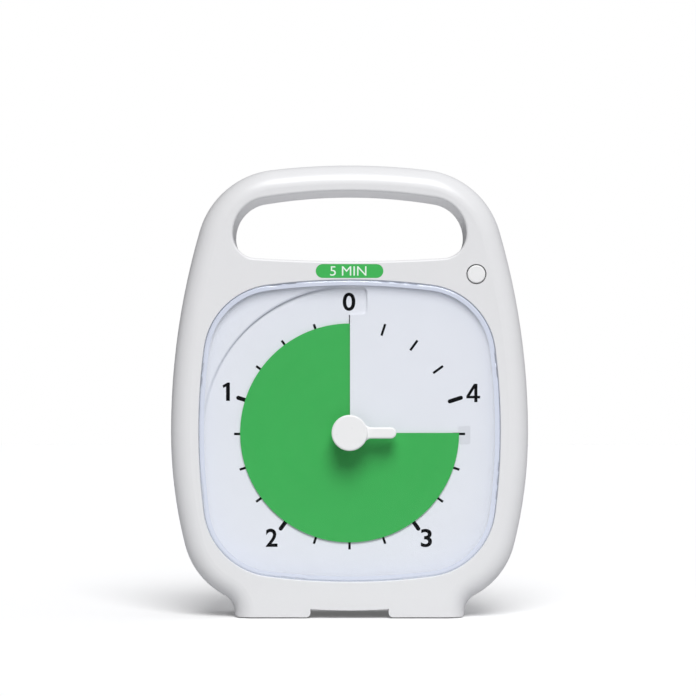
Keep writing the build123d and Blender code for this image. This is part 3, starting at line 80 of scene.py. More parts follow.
# The straight-sided numerals are drawn: outlines from their lower left corner.
ONE = (((1.4, 0), (2.9, 0), (2.9, 6.9), (1.95, 6.9), (0, 5.85), (0.3, 4.85), (1.4, 5.4)),)
FOUR = (
    (
        (3.1, 0), (4.35, 0), (4.35, 1.4), (5.4, 1.4), (5.4, 2.35), (4.35, 2.35),
        (4.35, 6.8), (2.95, 6.8), (0, 2.3), (0, 1.4), (3.1, 1.4),
    ),
    ((1.35, 2.35), (3.1, 2.35), (3.1, 5.05)),
)
# The others are set in type, made bolder by a share of the type's size.
TYPE_WEIGHT = 0.02
# The clear patch: its middle from the dial's centre, its size and its corner radius.
PATCH_ACROSS, PATCH_UP = 45.1, 1.0
PATCH_WIDTH, PATCH_HEIGHT, PATCH_CORNER = 4.8, 11.0, 1.0
# The label's words: how far their middle lies from the timer's, and their width.
WORDS_ACROSS, WORDS_WIDTH = -0.5, 14.2

# ---- Studio, in metres --------------------------------------------------------------
FLOOR_SIZE, FLOOR_BACK = 14, 5
FLOOR_GLOW = 0.13
# The room's light on every side, and what is added to it toward a side or the ceiling.
ROOM_LEVEL = 0.29
ROOM_LEFT = {"From Min": -0.9, "From Max": 0.15, "To Min": -0.75, "To Max": 0.0}
ROOM_RIGHT = {"From Min": 0.2, "From Max": 0.95, "To Min": 0.0, "To Max": -0.2}
ROOM_ABOVE = {"From Min": 0.1, "From Max": 0.9, "To Min": 0.0, "To Max": 0.38}

# ---- Nodes --------------------------------------------------------------------------
# Sockets of the Mix node in its colour mode.
MIX_FACTOR, MIX_LOW, MIX_HIGH, MIX_RESULT = 0, 6, 7, 2
# How far apart the Wave texture's bands or rings stand at a scale of 1.
WAVE_PITCH = math.tau / 20


def linear(code):
    """Turn an sRGB hex colour into the linear RGBA that shaders use."""
    parts = [int(code[place:place + 2], 16) / 255 for place in (1, 3, 5)]
    turned = [
        part / 12.92 if part <= 0.04045 else ((part + 0.055) / 1.055) ** 2.4 for part in parts
    ]
    return (*turned, 1.0)


def shade(colour, share):
    """A colour made lighter or darker by a share."""
    return (*[min(1.0, part * share) for part in colour[:3]], 1.0)


def dial_front(across, up):
    """The dial's front surface, as a y in mm, at a place measured from its centre."""
    angle = math.degrees(math.atan2(-across, up)) % 360
    rise = DIAL_RISE * angle / 360
    if math.hypot(across, up) > RECESS_RADIUS and angle < RECESS_ANGLE:
        rise = DIAL_RISE + (DIAL_RISE / 360 - DIAL_RISE / RECESS_ANGLE) * angle
    return DIAL_LOW_Y - DIAL_SKIN - rise


# ---- Settings -----------------------------------------------------------------------
class TimerColours(bpy.types.PropertyGroup):
    """Colours of the pieces that show."""

    housing: FloatVectorProperty(
        name="Housing", description="Colour of the moulded housing",
        size=4, min=0, max=1, subtype="COLOR", default=linear("#E4E4E5"),
    )
    knobs: FloatVectorProperty(
        name="Knobs", description="Colour of the setting knob, the button and the volume knob",
        size=4, min=0, max=1, subtype="COLOR", default=linear("#EFEFEF"),
    )
    dial: FloatVectorProperty(
        name="Dial", description="Colour of the dial sheet",
        size=4, min=0, max=1, subtype="COLOR", default=linear("#F0EFF2"),
    )
    disk: FloatVectorProperty(
        name="Disk", description="Colour of the countdown disk",
        size=4, min=0, max=1, subtype="COLOR", default=linear("#36B350"),
    )
    label: FloatVectorProperty(
        name="Label", description="Colour of the duration label",
        size=4, min=0, max=1, subtype="COLOR", default=linear("#36B350"),
    )
    ink: FloatVectorProperty(
        name="Ink", description="Colour of the numerals and marks",
        size=4, min=0, max=1, subtype="COLOR", default=linear("#0B0B0D"),
    )
    words: FloatVectorProperty(
        name="Words", description="Colour of the label's words",
        size=4, min=0, max=1, subtype="COLOR", default=linear("#E8F6EA"),
    )


class TimerPrintSizes(bpy.types.PropertyGroup):
    """Sizes of the dial's print and of the label's words."""

    numeral_height: FloatProperty(
        name="Numeral height", description="Height of the minute numerals",
        default=7.2 * MM, min=MM, subtype="DISTANCE", unit="LENGTH", precision=5,
    )
    mark_start: FloatProperty(
        name="Mark start", description="Inner radius of the marks",
        default=40.6 * MM, min=MM, subtype="DISTANCE", unit="LENGTH", precision=5,
    )
    minute_mark_end: FloatProperty(
        name="Minute mark end", description="Outer radius of a minute mark",
        default=46.8 * MM, min=MM, subtype="DISTANCE", unit="LENGTH", precision=5,
    )
    minute_mark_width: FloatProperty(
        name="Minute mark width", description="Width of a minute mark",
        default=1.6 * MM, min=0.1 * MM, subtype="DISTANCE", unit="LENGTH", precision=5,
    )
    short_mark_end: FloatProperty(
        name="Short mark end", description="Outer radius of a quarter-minute mark",
        default=45.4 * MM, min=MM, subtype="DISTANCE", unit="LENGTH", precision=5,
    )
    short_mark_width: FloatProperty(
        name="Short mark width", description="Width of a quarter-minute mark",
        default=0.95 * MM, min=0.1 * MM, subtype="DISTANCE", unit="LENGTH", precision=5,
    )
    film: FloatProperty(
        name="Ink film", description="How far the print stands out",
        default=0.03 * MM, min=0.01 * MM, subtype="DISTANCE", unit="LENGTH", precision=6,
    )
    words_height: FloatProperty(
        name="Words height", description="Height of the label's words",
        default=3.7 * MM, min=MM, subtype="DISTANCE", unit="LENGTH", precision=5,
    )


class TimerStage(bpy.types.PropertyGroup):
    """The studio's camera and light."""

    distance: FloatProperty(
        name="Distance", description="Camera distance from the front face",
        default=0.9, subtype="DISTANCE", unit="LENGTH",
    )
    eye_height: FloatProperty(
        name="Eye height", description="Camera height over the floor",
        default=0.073, subtype="DISTANCE", unit="LENGTH",
    )
    eye_side: FloatProperty(
        name="Eye side", description="Camera's place, right of the timer's middle",
        default=-0.6 * MM, subtype="DISTANCE", unit="LENGTH", precision=5,
    )
    view_height: FloatProperty(
        name="View height", description="Height of the picture at the front face",
        default=0.2721, subtype="DISTANCE", unit="LENGTH",
    )
    view_middle: FloatProperty(
        name="View middle", description="Height of the picture's middle over the floor",
        default=0.1058, subtype="DISTANCE", unit="LENGTH",
    )
    light: FloatProperty(
        name="Light", description="Irradiance from the overhead softbox", default=2.5, min=0,
    )
    light_lean: FloatProperty(
        name="Light lean", description="The softbox's lean to the front",
        default=math.radians(47), subtype="ANGLE", unit="ROTATION",
    )
    light_turn: FloatProperty(
        name="Light turn", description="The softbox's turn to the right",
        default=math.radians(5), subtype="ANGLE", unit="ROTATION",
    )
    light_spread: FloatProperty(
        name="Light spread", description="The softbox's breadth, as seen from the timer",
        default=math.radians(32), subtype="ANGLE", unit="ROTATION",
    )


# ---- Nodes and materials ------------------------------------------------------------
def add_node(tree, kind, inputs=None, **settings):
    """Add a node: its settings, and for each input a value or the socket that feeds it."""
    node = tree.nodes.new(kind)
    for name, value in settings.items():
        setattr(node, name, value)
    for name, value in (inputs or {}).items():
        if isinstance(value, bpy.types.NodeSocket):
            tree.links.new(value, node.inputs[name])
        else:
            node.inputs[name].default_value = value
    return node


def new_material(name):
    """An empty material: its tree, its object coordinates and the socket for its shader."""
    material = bpy.data.materials.new(name)
    material.use_nodes = True
    tree = material.node_tree
    tree.nodes.clear()
    place = add_node(tree, "ShaderNodeTexCoord").outputs["Object"]
    surface = add_node(tree, "ShaderNodeOutputMaterial").inputs["Surface"]
    return material, tree, place, surface


def finish_surface(tree, surface, height, strength, depth, inputs):
    """End a material in a principled shader, with a height pattern as relief, deep in mm."""
    relief = add_node(
        tree, "ShaderNodeBump", {"Height": height, "Strength": strength, "Distance": depth * MM}
    )
    shader = add_node(
        tree, "ShaderNodeBsdfPrincipled", {"Normal": relief.outputs["Normal"], **inputs}
    )
    tree.links.new(shader.outputs["BSDF"], surface)


def moulded_plastic(name, colour, roughness, grain, depth):
    """Injection-moulded plastic, with the mould's skin at a grain and depth in mm."""
    # Slow tone changes show how the melt flowed, and fingers leave glossier patches.
    material, tree, place, surface = new_material(name)
    flow = add_node(tree, "ShaderNodeTexNoise", {"Vector": place, "Scale": 1 / (28 * MM)})
    skin = add_node(tree, "ShaderNodeTexNoise", {"Vector": place, "Scale": 1 / (grain * MM)})
    patches = add_node(
        tree, "ShaderNodeTexNoise",
        {"Vector": place, "Scale": 1 / (3.5 * MM), "Detail": 5.0, "Roughness": 0.65},
    )
    tone = add_node(
        tree, "ShaderNodeMix",
        {
            MIX_FACTOR: flow.outputs["Fac"],
            MIX_LOW: shade(colour, 0.97),
            MIX_HIGH: shade(colour, 1.02),
        },
        data_type="RGBA",
    )
    gloss = add_node(
        tree, "ShaderNodeMapRange",
        {
            "Value": patches.outputs["Fac"],
            "To Min": roughness * 0.85,
            "To Max": roughness * 1.2,
        },
    )
    finish_surface(
        tree, surface, skin.outputs["Fac"], 0.6, depth,
        {
            "Base Color": tone.outputs[MIX_RESULT],
            "Roughness": gloss.outputs["Result"],
            "IOR": 1.5,
        },
    )
    return material


def spark_eroded_abs(name, colour):
    """Injection-moulded ABS from a spark-eroded mould."""
    # Even satin white. The texture is 0.05 mm on the real skin and is drawn at 0.35 mm to
    # show. The handle is polished by hands, and the feet are scuffed by table tops.
    handle_low, handle_high = 145 * MM, 172 * MM
    scuff_low, scuff_high = 1 * MM, 9 * MM
    material, tree, place, surface = new_material(name)
    flow = add_node(tree, "ShaderNodeTexNoise", {"Vector": place, "Scale": 1 / (35 * MM)})
    skin = add_node(
        tree, "ShaderNodeTexNoise", {"Vector": place, "Scale": 1 / (0.35 * MM), "Detail": 3.0}
    )
    grease = add_node(
        tree, "ShaderNodeTexNoise",
        {"Vector": place, "Scale": 1 / (6 * MM), "Detail": 5.0, "Roughness": 0.6},
    )
    parts = add_node(tree, "ShaderNodeSeparateXYZ", {"Vector": place})
    held = add_node(
        tree, "ShaderNodeMapRange",
        {
            "Value": parts.outputs["Z"],
            "From Min": handle_low,
            "From Max": handle_high,
            "To Max": -0.07,
        },
        interpolation_type="SMOOTHSTEP",
    )
    stretched = add_node(tree, "ShaderNodeMapping", {"Vector": place, "Scale": (0.15, 1, 1)})
    scratches = add_node(
        tree, "ShaderNodeTexNoise",
        {"Vector": stretched.outputs["Vector"], "Scale": 1 / (0.5 * MM), "Detail": 4.0},
    )
    low_down = add_node(
        tree, "ShaderNodeMapRange",
        {
            "Value": parts.outputs["Z"],
            "From Min": scuff_high,
            "From Max": scuff_low,
            "To Max": 0.5,
        },
    )
    scuffed = add_node(
        tree, "ShaderNodeMath",
        {0: scratches.outputs["Fac"], 1: low_down.outputs["Result"]}, operation="MULTIPLY",
    )
    tone = add_node(
        tree, "ShaderNodeMix",
        {
            MIX_FACTOR: flow.outputs["Fac"],
            MIX_LOW: shade(colour, 0.98),
            MIX_HIGH: shade(colour, 1.015),
        },
        data_type="RGBA",
    )
    worn_tone = add_node(
        tree, "ShaderNodeMix",
        {
            MIX_FACTOR: scuffed.outputs[0],
            MIX_LOW: tone.outputs[MIX_RESULT],
            MIX_HIGH: shade(colour, 0.9),
        },
        data_type="RGBA",
    )
    gloss = add_node(
        tree, "ShaderNodeMapRange",
        {"Value": grease.outputs["Fac"], "To Min": 0.33, "To Max": 0.46},
    )
    worn_gloss = add_node(
        tree, "ShaderNodeMath",
        {0: gloss.outputs["Result"], 1: held.outputs["Result"]}, operation="ADD",
    )
    finish_surface(
        tree, surface, skin.outputs["Fac"], 0.5, 0.012,
        {
            "Base Color": worn_tone.outputs[MIX_RESULT],
            "Roughness": worn_gloss.outputs[0],
            "IOR": 1.53,
        },
    )
    return material


def printed_sheet(name, colour, roughness, index=1.49):
    """Plastic sheet or film under a screen-printed lacquer."""
    # The screen's mesh, 0.1 mm, is drawn at 2.5 mm: a hardly seen weave in an even tone.
    material, tree, place, surface = new_material(name)
    ink = add_node(tree, "ShaderNodeTexNoise", {"Vector": place, "Scale": 1 / (14 * MM)})
    across = add_node(
        tree, "ShaderNodeTexWave", {"Vector": place, "Scale": WAVE_PITCH / (2.5 * MM)},
        bands_direction="X",
    )
    upward = add_node(
        tree, "ShaderNodeTexWave", {"Vector": place, "Scale": WAVE_PITCH / (2.5 * MM)},
        bands_direction="Z",
    )
    mesh = add_node(
        tree, "ShaderNodeMath",
        {0: across.outputs["Fac"], 1: upward.outputs["Fac"]}, operation="ADD",
    )
    tone = add_node(
        tree, "ShaderNodeMix",
        {
            MIX_FACTOR: ink.outputs["Fac"],
            MIX_LOW: shade(colour, 0.985),
            MIX_HIGH: shade(colour, 1.01),
        },
        data_type="RGBA",
    )
    gloss = add_node(
        tree, "ShaderNodeMapRange",
        {"Value": ink.outputs["Fac"], "To Min": roughness * 0.92, "To Max": roughness * 1.1},
    )
    finish_surface(
        tree, surface, mesh.outputs[0], 0.25, 0.002,
        {
            "Base Color": tone.outputs[MIX_RESULT],
            "Roughness": gloss.outputs["Result"],
            "IOR": index,
        },
    )
    return material


def recessed_sheet(name, colour, roughness):
    """The dial's lacquered sheet, with painted shade along the foot of its recess."""
    # The step's shadow is painted on as a soft grey arc that fades out where the recess runs into
    # the dial.
    shade_reach, shade_core = 0.9 * MM, 0.1 * MM
    fade_left, fade_up = 8 * MM, 24 * MM
    material = printed_sheet(name, colour, roughness)
    tree = material.node_tree
    place = add_node(tree, "ShaderNodeTexCoord").outputs["Object"]
    centred = add_node(
        tree, "ShaderNodeVectorMath",
        {0: place, 1: (0, 0, -DIAL_HEIGHT * MM)}, operation="ADD",
    )
    flat = add_node(
        tree, "ShaderNodeVectorMath",
        {0: centred.outputs["Vector"], 1: (1, 0, 1)}, operation="MULTIPLY",
    )
    reach = add_node(
        tree, "ShaderNodeVectorMath", {0: flat.outputs["Vector"]}, operation="LENGTH"
    )
    away = add_node(
        tree, "ShaderNodeMath",
        {0: reach.outputs["Value"], 1: RECESS_RADIUS * MM}, operation="SUBTRACT",
    )
    distance = add_node(tree, "ShaderNodeMath", {0: away.outputs[0]}, operation="ABSOLUTE")
    near = add_node(
        tree, "ShaderNodeMapRange",
        {"Value": distance.outputs[0], "From Min": shade_reach, "From Max": shade_core},
        interpolation_type="SMOOTHSTEP",
    )
    side = add_node(tree, "ShaderNodeSeparateXYZ", {"Vector": centred.outputs["Vector"]})
    left = add_node(
        tree, "ShaderNodeMapRange",
        {"Value": side.outputs["X"], "From Min": 0.0, "From Max": -fade_left, "To Max": 0.3},
    )
    upper = add_node(
        tree, "ShaderNodeMapRange", {"Value": side.outputs["Z"], "From Max": fade_up}
    )
    quarter = add_node(
        tree, "ShaderNodeMath",
        {0: left.outputs["Result"], 1: upper.outputs["Result"]}, operation="MULTIPLY",
    )
    # Painted shade: the sheet turns grey-blue along the step's arc, where the step's shadow falls.
    step_shade = add_node(
        tree, "ShaderNodeMath", {0: near.outputs["Result"], 1: quarter.outputs[0]},
        operation="MULTIPLY",
    )
    base = next(node for node in tree.nodes if node.type == "BSDF_PRINCIPLED")
    unshaded_tone = base.inputs["Base Color"].links[0].from_socket
    shaded_tone = add_node(
        tree, "ShaderNodeMix",
        {MIX_FACTOR: step_shade.outputs[0], MIX_LOW: unshaded_tone, MIX_HIGH: linear("#7E869B")},
        data_type="RGBA",
    )
    tree.links.new(shaded_tone.outputs[MIX_RESULT], base.inputs["Base Color"])
    return material


def turning_film(name, colour):
    """Polypropylene film that has turned under the window for years."""
    # Deep even colour. Dust has rubbed faint rings round the spindle, about 9 mm apart.
    material, tree, place, surface = new_material(name)
    centred = add_node(
        tree, "ShaderNodeMapping", {"Vector": place, "Location": (0, 0, -DIAL_HEIGHT * MM)}
    )
    rings = add_node(
        tree, "ShaderNodeTexWave",
        {
            "Vector": centred.outputs["Vector"],
            "Scale": WAVE_PITCH / (8.8 * MM),
            "Distortion": 3.0,
            "Detail": 3.0,
        },
        wave_type="RINGS", rings_direction="Y",
    )
    cloud = add_node(tree, "ShaderNodeTexNoise", {"Vector": place, "Scale": 1 / (20 * MM)})
    tone = add_node(
        tree, "ShaderNodeMix",
        {
            MIX_FACTOR: cloud.outputs["Fac"],
            MIX_LOW: shade(colour, 0.975),
            MIX_HIGH: shade(colour, 1.02),
        },
        data_type="RGBA",
    )
    gloss = add_node(
        tree, "ShaderNodeMapRange",
        {"Value": rings.outputs["Fac"], "To Min": 0.44, "To Max": 0.5},
    )
    finish_surface(
        tree, surface, rings.outputs["Fac"], 0.1, 0.002,
        {
            "Base Color": tone.outputs[MIX_RESULT],
            "Roughness": gloss.outputs["Result"],
            "IOR": 1.49,
        },
    )
    return material


def worked_metal(name, colour, roughness, grain, stretch):
    """Bare or plated metal with the lines of its drawing, rolling or turning."""
    # Lines run across the axis that the stretch makes fine; handling dulls it in patches.
    material, tree, place, surface = new_material(name)
    turned = add_node(tree, "ShaderNodeMapping", {"Vector": place, "Scale": stretch})
    lines = add_node(
        tree, "ShaderNodeTexNoise",
        {"Vector": turned.outputs["Vector"], "Scale": 1 / (grain * MM), "Detail": 3.0},
    )
    dulled = add_node(
        tree, "ShaderNodeTexNoise", {"Vector": place, "Scale": 1 / (4 * MM), "Detail": 4.0}
    )
    tone = add_node(
        tree, "ShaderNodeMix",
        {
            MIX_FACTOR: dulled.outputs["Fac"],
            MIX_LOW: shade(colour, 0.85),
            MIX_HIGH: shade(colour, 1.05),
        },
        data_type="RGBA",
    )
    gloss = add_node(
        tree, "ShaderNodeMapRange",
        {"Value": lines.outputs["Fac"], "To Min": roughness * 0.7, "To Max": roughness * 1.4},
    )
    finish_surface(
        tree, surface, lines.outputs["Fac"], 0.5, 0.004,
        {
            "Base Color": tone.outputs[MIX_RESULT],
            "Roughness": gloss.outputs["Result"],
            "Metallic": 1.0,
        },
    )
    return material


def clear_polycarbonate(name, front):
    """Injection-moulded clear polycarbonate; its raised rim stands at the front, a y."""
    # See-through from the front. The raised rim and its walls carry painted light: an opaque
    # pale-blue shader, a shade darker on the walls, for the light that a clear moulding's edges
    # gather, and clear to shadow rays.
    rim_depth, rim_light_share, wall_light_share = 0.3 * MM, 0.92, 0.5
    material, tree, place, surface = new_material(name)
    smears = add_node(
        tree, "ShaderNodeTexNoise", {"Vector": place, "Scale": 1 / (9 * MM), "Detail": 4.0}
    )
    fine = add_node(tree, "ShaderNodeTexNoise", {"Vector": place, "Scale": 1 / (0.8 * MM)})
    gloss = add_node(
        tree, "ShaderNodeMapRange",
        {"Value": smears.outputs["Fac"], "To Min": 0.04, "To Max": 0.12},
    )
    relief = add_node(
        tree, "ShaderNodeBump",
        {"Height": fine.outputs["Fac"], "Strength": 0.2, "Distance": 0.001 * MM},
    )
    clear = add_node(tree, "ShaderNodeBsdfTransparent", {"Color": linear("#FCFDFE")})
    shine = add_node(
        tree, "ShaderNodeBsdfGlossy",
        {
            "Color": linear("#EEF2FA"),
            "Roughness": gloss.outputs["Result"],
            "Normal": relief.outputs["Normal"],
        },
    )
    facing = add_node(tree, "ShaderNodeLayerWeight", {"Blend": 0.5}).outputs["Facing"]
    steep = add_node(tree, "ShaderNodeMath", {0: facing, 1: 5.0}, operation="POWER")
    mirrored = add_node(
        tree, "ShaderNodeMapRange",
        {"Value": steep.outputs[0], "To Min": 0.006, "To Max": 0.5},
    )
    pane = add_node(
        tree, "ShaderNodeMixShader",
        {0: mirrored.outputs["Result"], 1: clear.outputs[0], 2: shine.outputs[0]},
    )
    normal = add_node(tree, "ShaderNodeTexCoord").outputs["Normal"]
    forward = add_node(tree, "ShaderNodeSeparateXYZ", {"Vector": normal}).outputs["Y"]
    level = add_node(tree, "ShaderNodeMath", {0: forward}, operation="ABSOLUTE")
    sideways = add_node(
        tree, "ShaderNodeMapRange",
        {"Value": level.outputs[0], "From Min": 0.98, "From Max": 0.3},
    )
    depth = add_node(tree, "ShaderNodeSeparateXYZ", {"Vector": place}).outputs["Y"]
    raised = add_node(
        tree, "ShaderNodeMath", {0: depth, 1: front + rim_depth}, operation="LESS_THAN"
    )
    rim_painted = add_node(
        tree, "ShaderNodeMath", {0: raised.outputs[0], 1: rim_light_share}, operation="MULTIPLY"
    )
    walls_painted = add_node(
        tree, "ShaderNodeMath", {0: sideways.outputs["Result"], 1: wall_light_share},
        operation="MULTIPLY",
    )
    painted_share = add_node(
        tree, "ShaderNodeMath", {0: rim_painted.outputs[0], 1: walls_painted.outputs[0]}, operation="MAXIMUM"
    )
    tint = add_node(
        tree, "ShaderNodeMix",
        {
            MIX_FACTOR: sideways.outputs["Result"],
            MIX_LOW: linear("#D9DFEE"),
            MIX_HIGH: linear("#C9D1E4"),
        },
        data_type="RGBA",
    )
    # Painted light: an opaque pale-blue shader on the rim and walls, darker on the walls, in place
    # of the light and reflections they gather.
    rim = add_node(
        tree, "ShaderNodeBsdfPrincipled",
        {
            "Base Color": tint.outputs[MIX_RESULT],
            "Roughness": gloss.outputs["Result"],
            "Normal": relief.outputs["Normal"],
            "IOR": 1.58,
        },
    )
    # Shadow rays pass the painted rim as if it were clear.
    shadow = add_node(tree, "ShaderNodeLightPath").outputs["Is Shadow Ray"]
    lit = add_node(tree, "ShaderNodeMath", {0: 1.0, 1: shadow}, operation="SUBTRACT")
    share = add_node(
        tree, "ShaderNodeMath", {0: painted_share.outputs[0], 1: lit.outputs[0]}, operation="MULTIPLY"
    )
    whole = add_node(
        tree, "ShaderNodeMixShader",
        {0: share.outputs[0], 1: pane.outputs[0], 2: rim.outputs[0]},
    )
    tree.links.new(whole.outputs[0], surface)
    return material


def circuit_board(name):
    """Etched glass-fibre board under green solder mask."""
    # Tracks show as paler lines on a 2.54 mm pitch, with bright tinned pads among them.
    material, tree, place, surface = new_material(name)
    upright = add_node(
        tree, "ShaderNodeMapping", {"Vector": place, "Rotation": (FACE_ON, 0, 0)}
    )
    tracks = add_node(
        tree, "ShaderNodeTexBrick",
        {
            "Vector": upright.outputs["Vector"],
            "Color1": linear("#17492B"),
            "Color2": linear("#1B5432"),
            "Mortar": linear("#2F7F4C"),
            "Scale": 1 / (5.08 * MM),
            "Mortar Size": 0.05,
        },
    )
    pads = add_node(tree, "ShaderNodeTexVoronoi", {"Vector": place, "Scale": 1 / (2.54 * MM)})
    tinned = add_node(
        tree, "ShaderNodeMath", {0: pads.outputs["Distance"], 1: 0.2}, operation="LESS_THAN"
    )
    tone = add_node(
        tree, "ShaderNodeMix",
        {
            MIX_FACTOR: tinned.outputs[0],
            MIX_LOW: tracks.outputs["Color"],
            MIX_HIGH: linear("#C4C6C4"),
        },
        data_type="RGBA",
    )
    finish_surface(
        tree, surface, tracks.outputs["Fac"], 0.6, 0.035,
        {
            "Base Color": tone.outputs[MIX_RESULT],
            "Metallic": tinned.outputs[0],
            "Roughness": 0.3,
        },
    )
    return material


def wound_copper(name):
    """Enamelled copper wire wound in layers."""
    # 0.08 mm turns are drawn at 1.9 mm. Each turn carries a painted highlight and the groove
    # between turns painted shade, so that the winding reads as bright rings.
    material, tree, place, surface = new_material(name)
    turns = add_node(
        tree, "ShaderNodeTexWave",
        {"Vector": place, "Scale": WAVE_PITCH / (1.9 * MM), "Distortion": 0.6},
        bands_direction="Z",
    )
    # Painted highlight and shade: bright copper on each turn, dark brown between the turns.
    tone = add_node(
        tree, "ShaderNodeMix",
        {
            MIX_FACTOR: turns.outputs["Fac"],
            MIX_LOW: linear("#7E3B1D"),
            MIX_HIGH: linear("#C97A4A"),
        },
        data_type="RGBA",
    )
    finish_surface(
        tree, surface, turns.outputs["Fac"], 0.8, 0.1,
        {"Base Color": tone.outputs[MIX_RESULT], "Metallic": 1.0, "Roughness": 0.3},
    )
    return material


def sleeved_cell(name, low, high):
    """A steel cell can in a shrunk plastic sleeve."""
    # Dark satin sleeve with a paler band; both ends and the nub are bare nickel plate.
    band_length, nub_end, flat_end = 13 * MM, 2.1 * MM, 0.7 * MM
    material, tree, place, surface = new_material(name)
    along = add_node(tree, "ShaderNodeSeparateXYZ", {"Vector": place}).outputs["X"]
    wrinkles = add_node(
        tree, "ShaderNodeTexNoise", {"Vector": place, "Scale": 1 / (5 * MM), "Detail": 3.0}
    )
    band = add_node(
        tree, "ShaderNodeMath", {0: along, 1: high.x - band_length}, operation="GREATER_THAN"
    )
    nub = add_node(
        tree, "ShaderNodeMath", {0: along, 1: high.x - nub_end}, operation="GREATER_THAN"
    )
    base = add_node(
        tree, "ShaderNodeMath", {0: along, 1: low.x + flat_end}, operation="LESS_THAN"
    )
    bare = add_node(
        tree, "ShaderNodeMath", {0: nub.outputs[0], 1: base.outputs[0]}, operation="MAXIMUM"
    )
    sleeve = add_node(
        tree, "ShaderNodeMix",
        {
            MIX_FACTOR: band.outputs[0],
            MIX_LOW: linear("#2D3138"),
            MIX_HIGH: linear("#8E939B"),
        },
        data_type="RGBA",
    )
    tone = add_node(
        tree, "ShaderNodeMix",
        {
            MIX_FACTOR: bare.outputs[0],
            MIX_LOW: sleeve.outputs[MIX_RESULT],
            MIX_HIGH: linear("#C6C7C8"),
        },
        data_type="RGBA",
    )
    gloss = add_node(
        tree, "ShaderNodeMapRange",
        {"Value": wrinkles.outputs["Fac"], "To Min": 0.24, "To Max": 0.4},
    )
    finish_surface(
        tree, surface, wrinkles.outputs["Fac"], 0.3, 0.03,
        {
            "Base Color": tone.outputs[MIX_RESULT],
            "Metallic": bare.outputs[0],
            "Roughness": gloss.outputs["Result"],
        },
    )
    return material


def coarse_matter(name, dark, pale, roughness, grain, depth):
    """A matt, grainy stuff such as pressed paper, rubber, ferrite or casting paper."""
    # Two tones mixed by the grain, which also stands up as a relief.
    material, tree, place, surface = new_material(name)
    grit = add_node(
        tree, "ShaderNodeTexNoise",
        {"Vector": place, "Scale": 1 / (grain * MM), "Detail": 6.0, "Roughness": 0.6},
    )
    tone = add_node(
        tree, "ShaderNodeMix",
        {MIX_FACTOR: grit.outputs["Fac"], MIX_LOW: dark, MIX_HIGH: pale},
        data_type="RGBA",
    )
    gloss = add_node(
        tree, "ShaderNodeMapRange",
        {"Value": grit.outputs["Fac"], "To Min": roughness * 0.9, "To Max": roughness * 1.1},
    )
    finish_surface(
        tree, surface, grit.outputs["Fac"], 0.7, depth,
        {"Base Color": tone.outputs[MIX_RESULT], "Roughness": gloss.outputs["Result"]},
    )
    return material


def finish_all(names, material):
    """Give CAD nodes a material in every slot."""
    for name in names.split():
        for slot in NODES[name].material_slots:
            slot.material = material


# ---- Making new pieces --------------------------------------------------------------
def clear_selection():
    """Leave nothing selected."""
    bpy.ops.object.select_all(action="DESELECT")


def select_only(piece):
    """Select one piece and make it the active one."""
    clear_selection()
    piece.select_set(True)
    bpy.context.view_layer.objects.active = piece


def settle(piece, name, material):
    """Apply a piece's place, name it, finish it, and fix it to the housing."""
    select_only(piece)
    bpy.ops.object.transform_apply(location=True, rotation=True, scale=True)
    piece.name = name
    piece.data.name = name
    piece.data.materials.clear()
    piece.data.materials.append(material)
    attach(piece, HOUSING)


def world_box(piece):
    """A mesh piece's lowest and highest corners where it stands."""
    bpy.context.view_layer.update()
    points = [piece.matrix_world @ vertex.co for vertex in piece.data.vertices]
    low = Vector([min(point[axis] for point in points) for axis in range(3)])
    high = Vector([max(point[axis] for point in points) for axis in range(3)])
    return low, high


def fit_print(piece, across, up, front, width, height):
    """Size an upright flat shape as print and centre it, with its face at the front, a y."""
    body = PRINT_BODY * MM
    low, high = world_box(piece)
    size = high - low
    piece.scale = (width / size.x, height / size.z, body / size.y)
    low, high = world_box(piece)
    piece.location += Vector((across, front + body / 2, up)) - (low + high) / 2


def add_lettering(words, weight):
    """Upright lettering facing forwards, made bolder by a weight, as a mesh to be sized."""
    clear_selection()
    bpy.ops.object.text_add(rotation=(FACE_ON, 0, 0))
    text = bpy.context.object
    text.data.body = words
    text.data.offset = weight
    text.data.extrude = 0.5
    text.data.resolution_u = 6
    bpy.ops.object.convert(target="MESH")
    return bpy.context.object


def add_outline(outlines):
    """An upright shape to be sized, from closed outlines in which inner ones are holes."""
    clear_selection()
    bpy.ops.curve.primitive_bezier_curve_add(rotation=(FACE_ON, 0, 0))
    curve = bpy.context.object
    curve.data.dimensions = "2D"
    curve.data.fill_mode = "BOTH"
    curve.data.extrude = 0.5
    curve.data.splines.clear()
    for outline in outlines:
        spline = curve.data.splines.new("POLY")
        spline.points.add(len(outline) - 1)
        for point, (across, up) in zip(spline.points, outline):
            point.co = (across, up, 0, 1)
        spline.use_cyclic_u = True
    bpy.ops.object.convert(target="MESH")
    return bpy.context.object


def add_bar(width, length, rounding):
    """A thin upright bar, centred on the origin, with its corners rounded."""
    clear_selection()
    bpy.ops.mesh.primitive_plane_add(size=1, rotation=(FACE_ON, 0, 0))
    bar = bpy.context.object
    bar.scale = (width, length, 1)
    bpy.ops.object.transform_apply(location=False, rotation=True, scale=True)
    corners = bar.modifiers.new("corners", "BEVEL")
    corners.affect = "VERTICES"
    corners.width = rounding
    corners.segments = 6
    body = bar.modifiers.new("body", "SOLIDIFY")
    body.thickness = PRINT_BODY * MM
    body.offset = 0
    for modifier in (corners, body):
        bpy.ops.object.modifier_apply(modifier=modifier.name)
    return bar


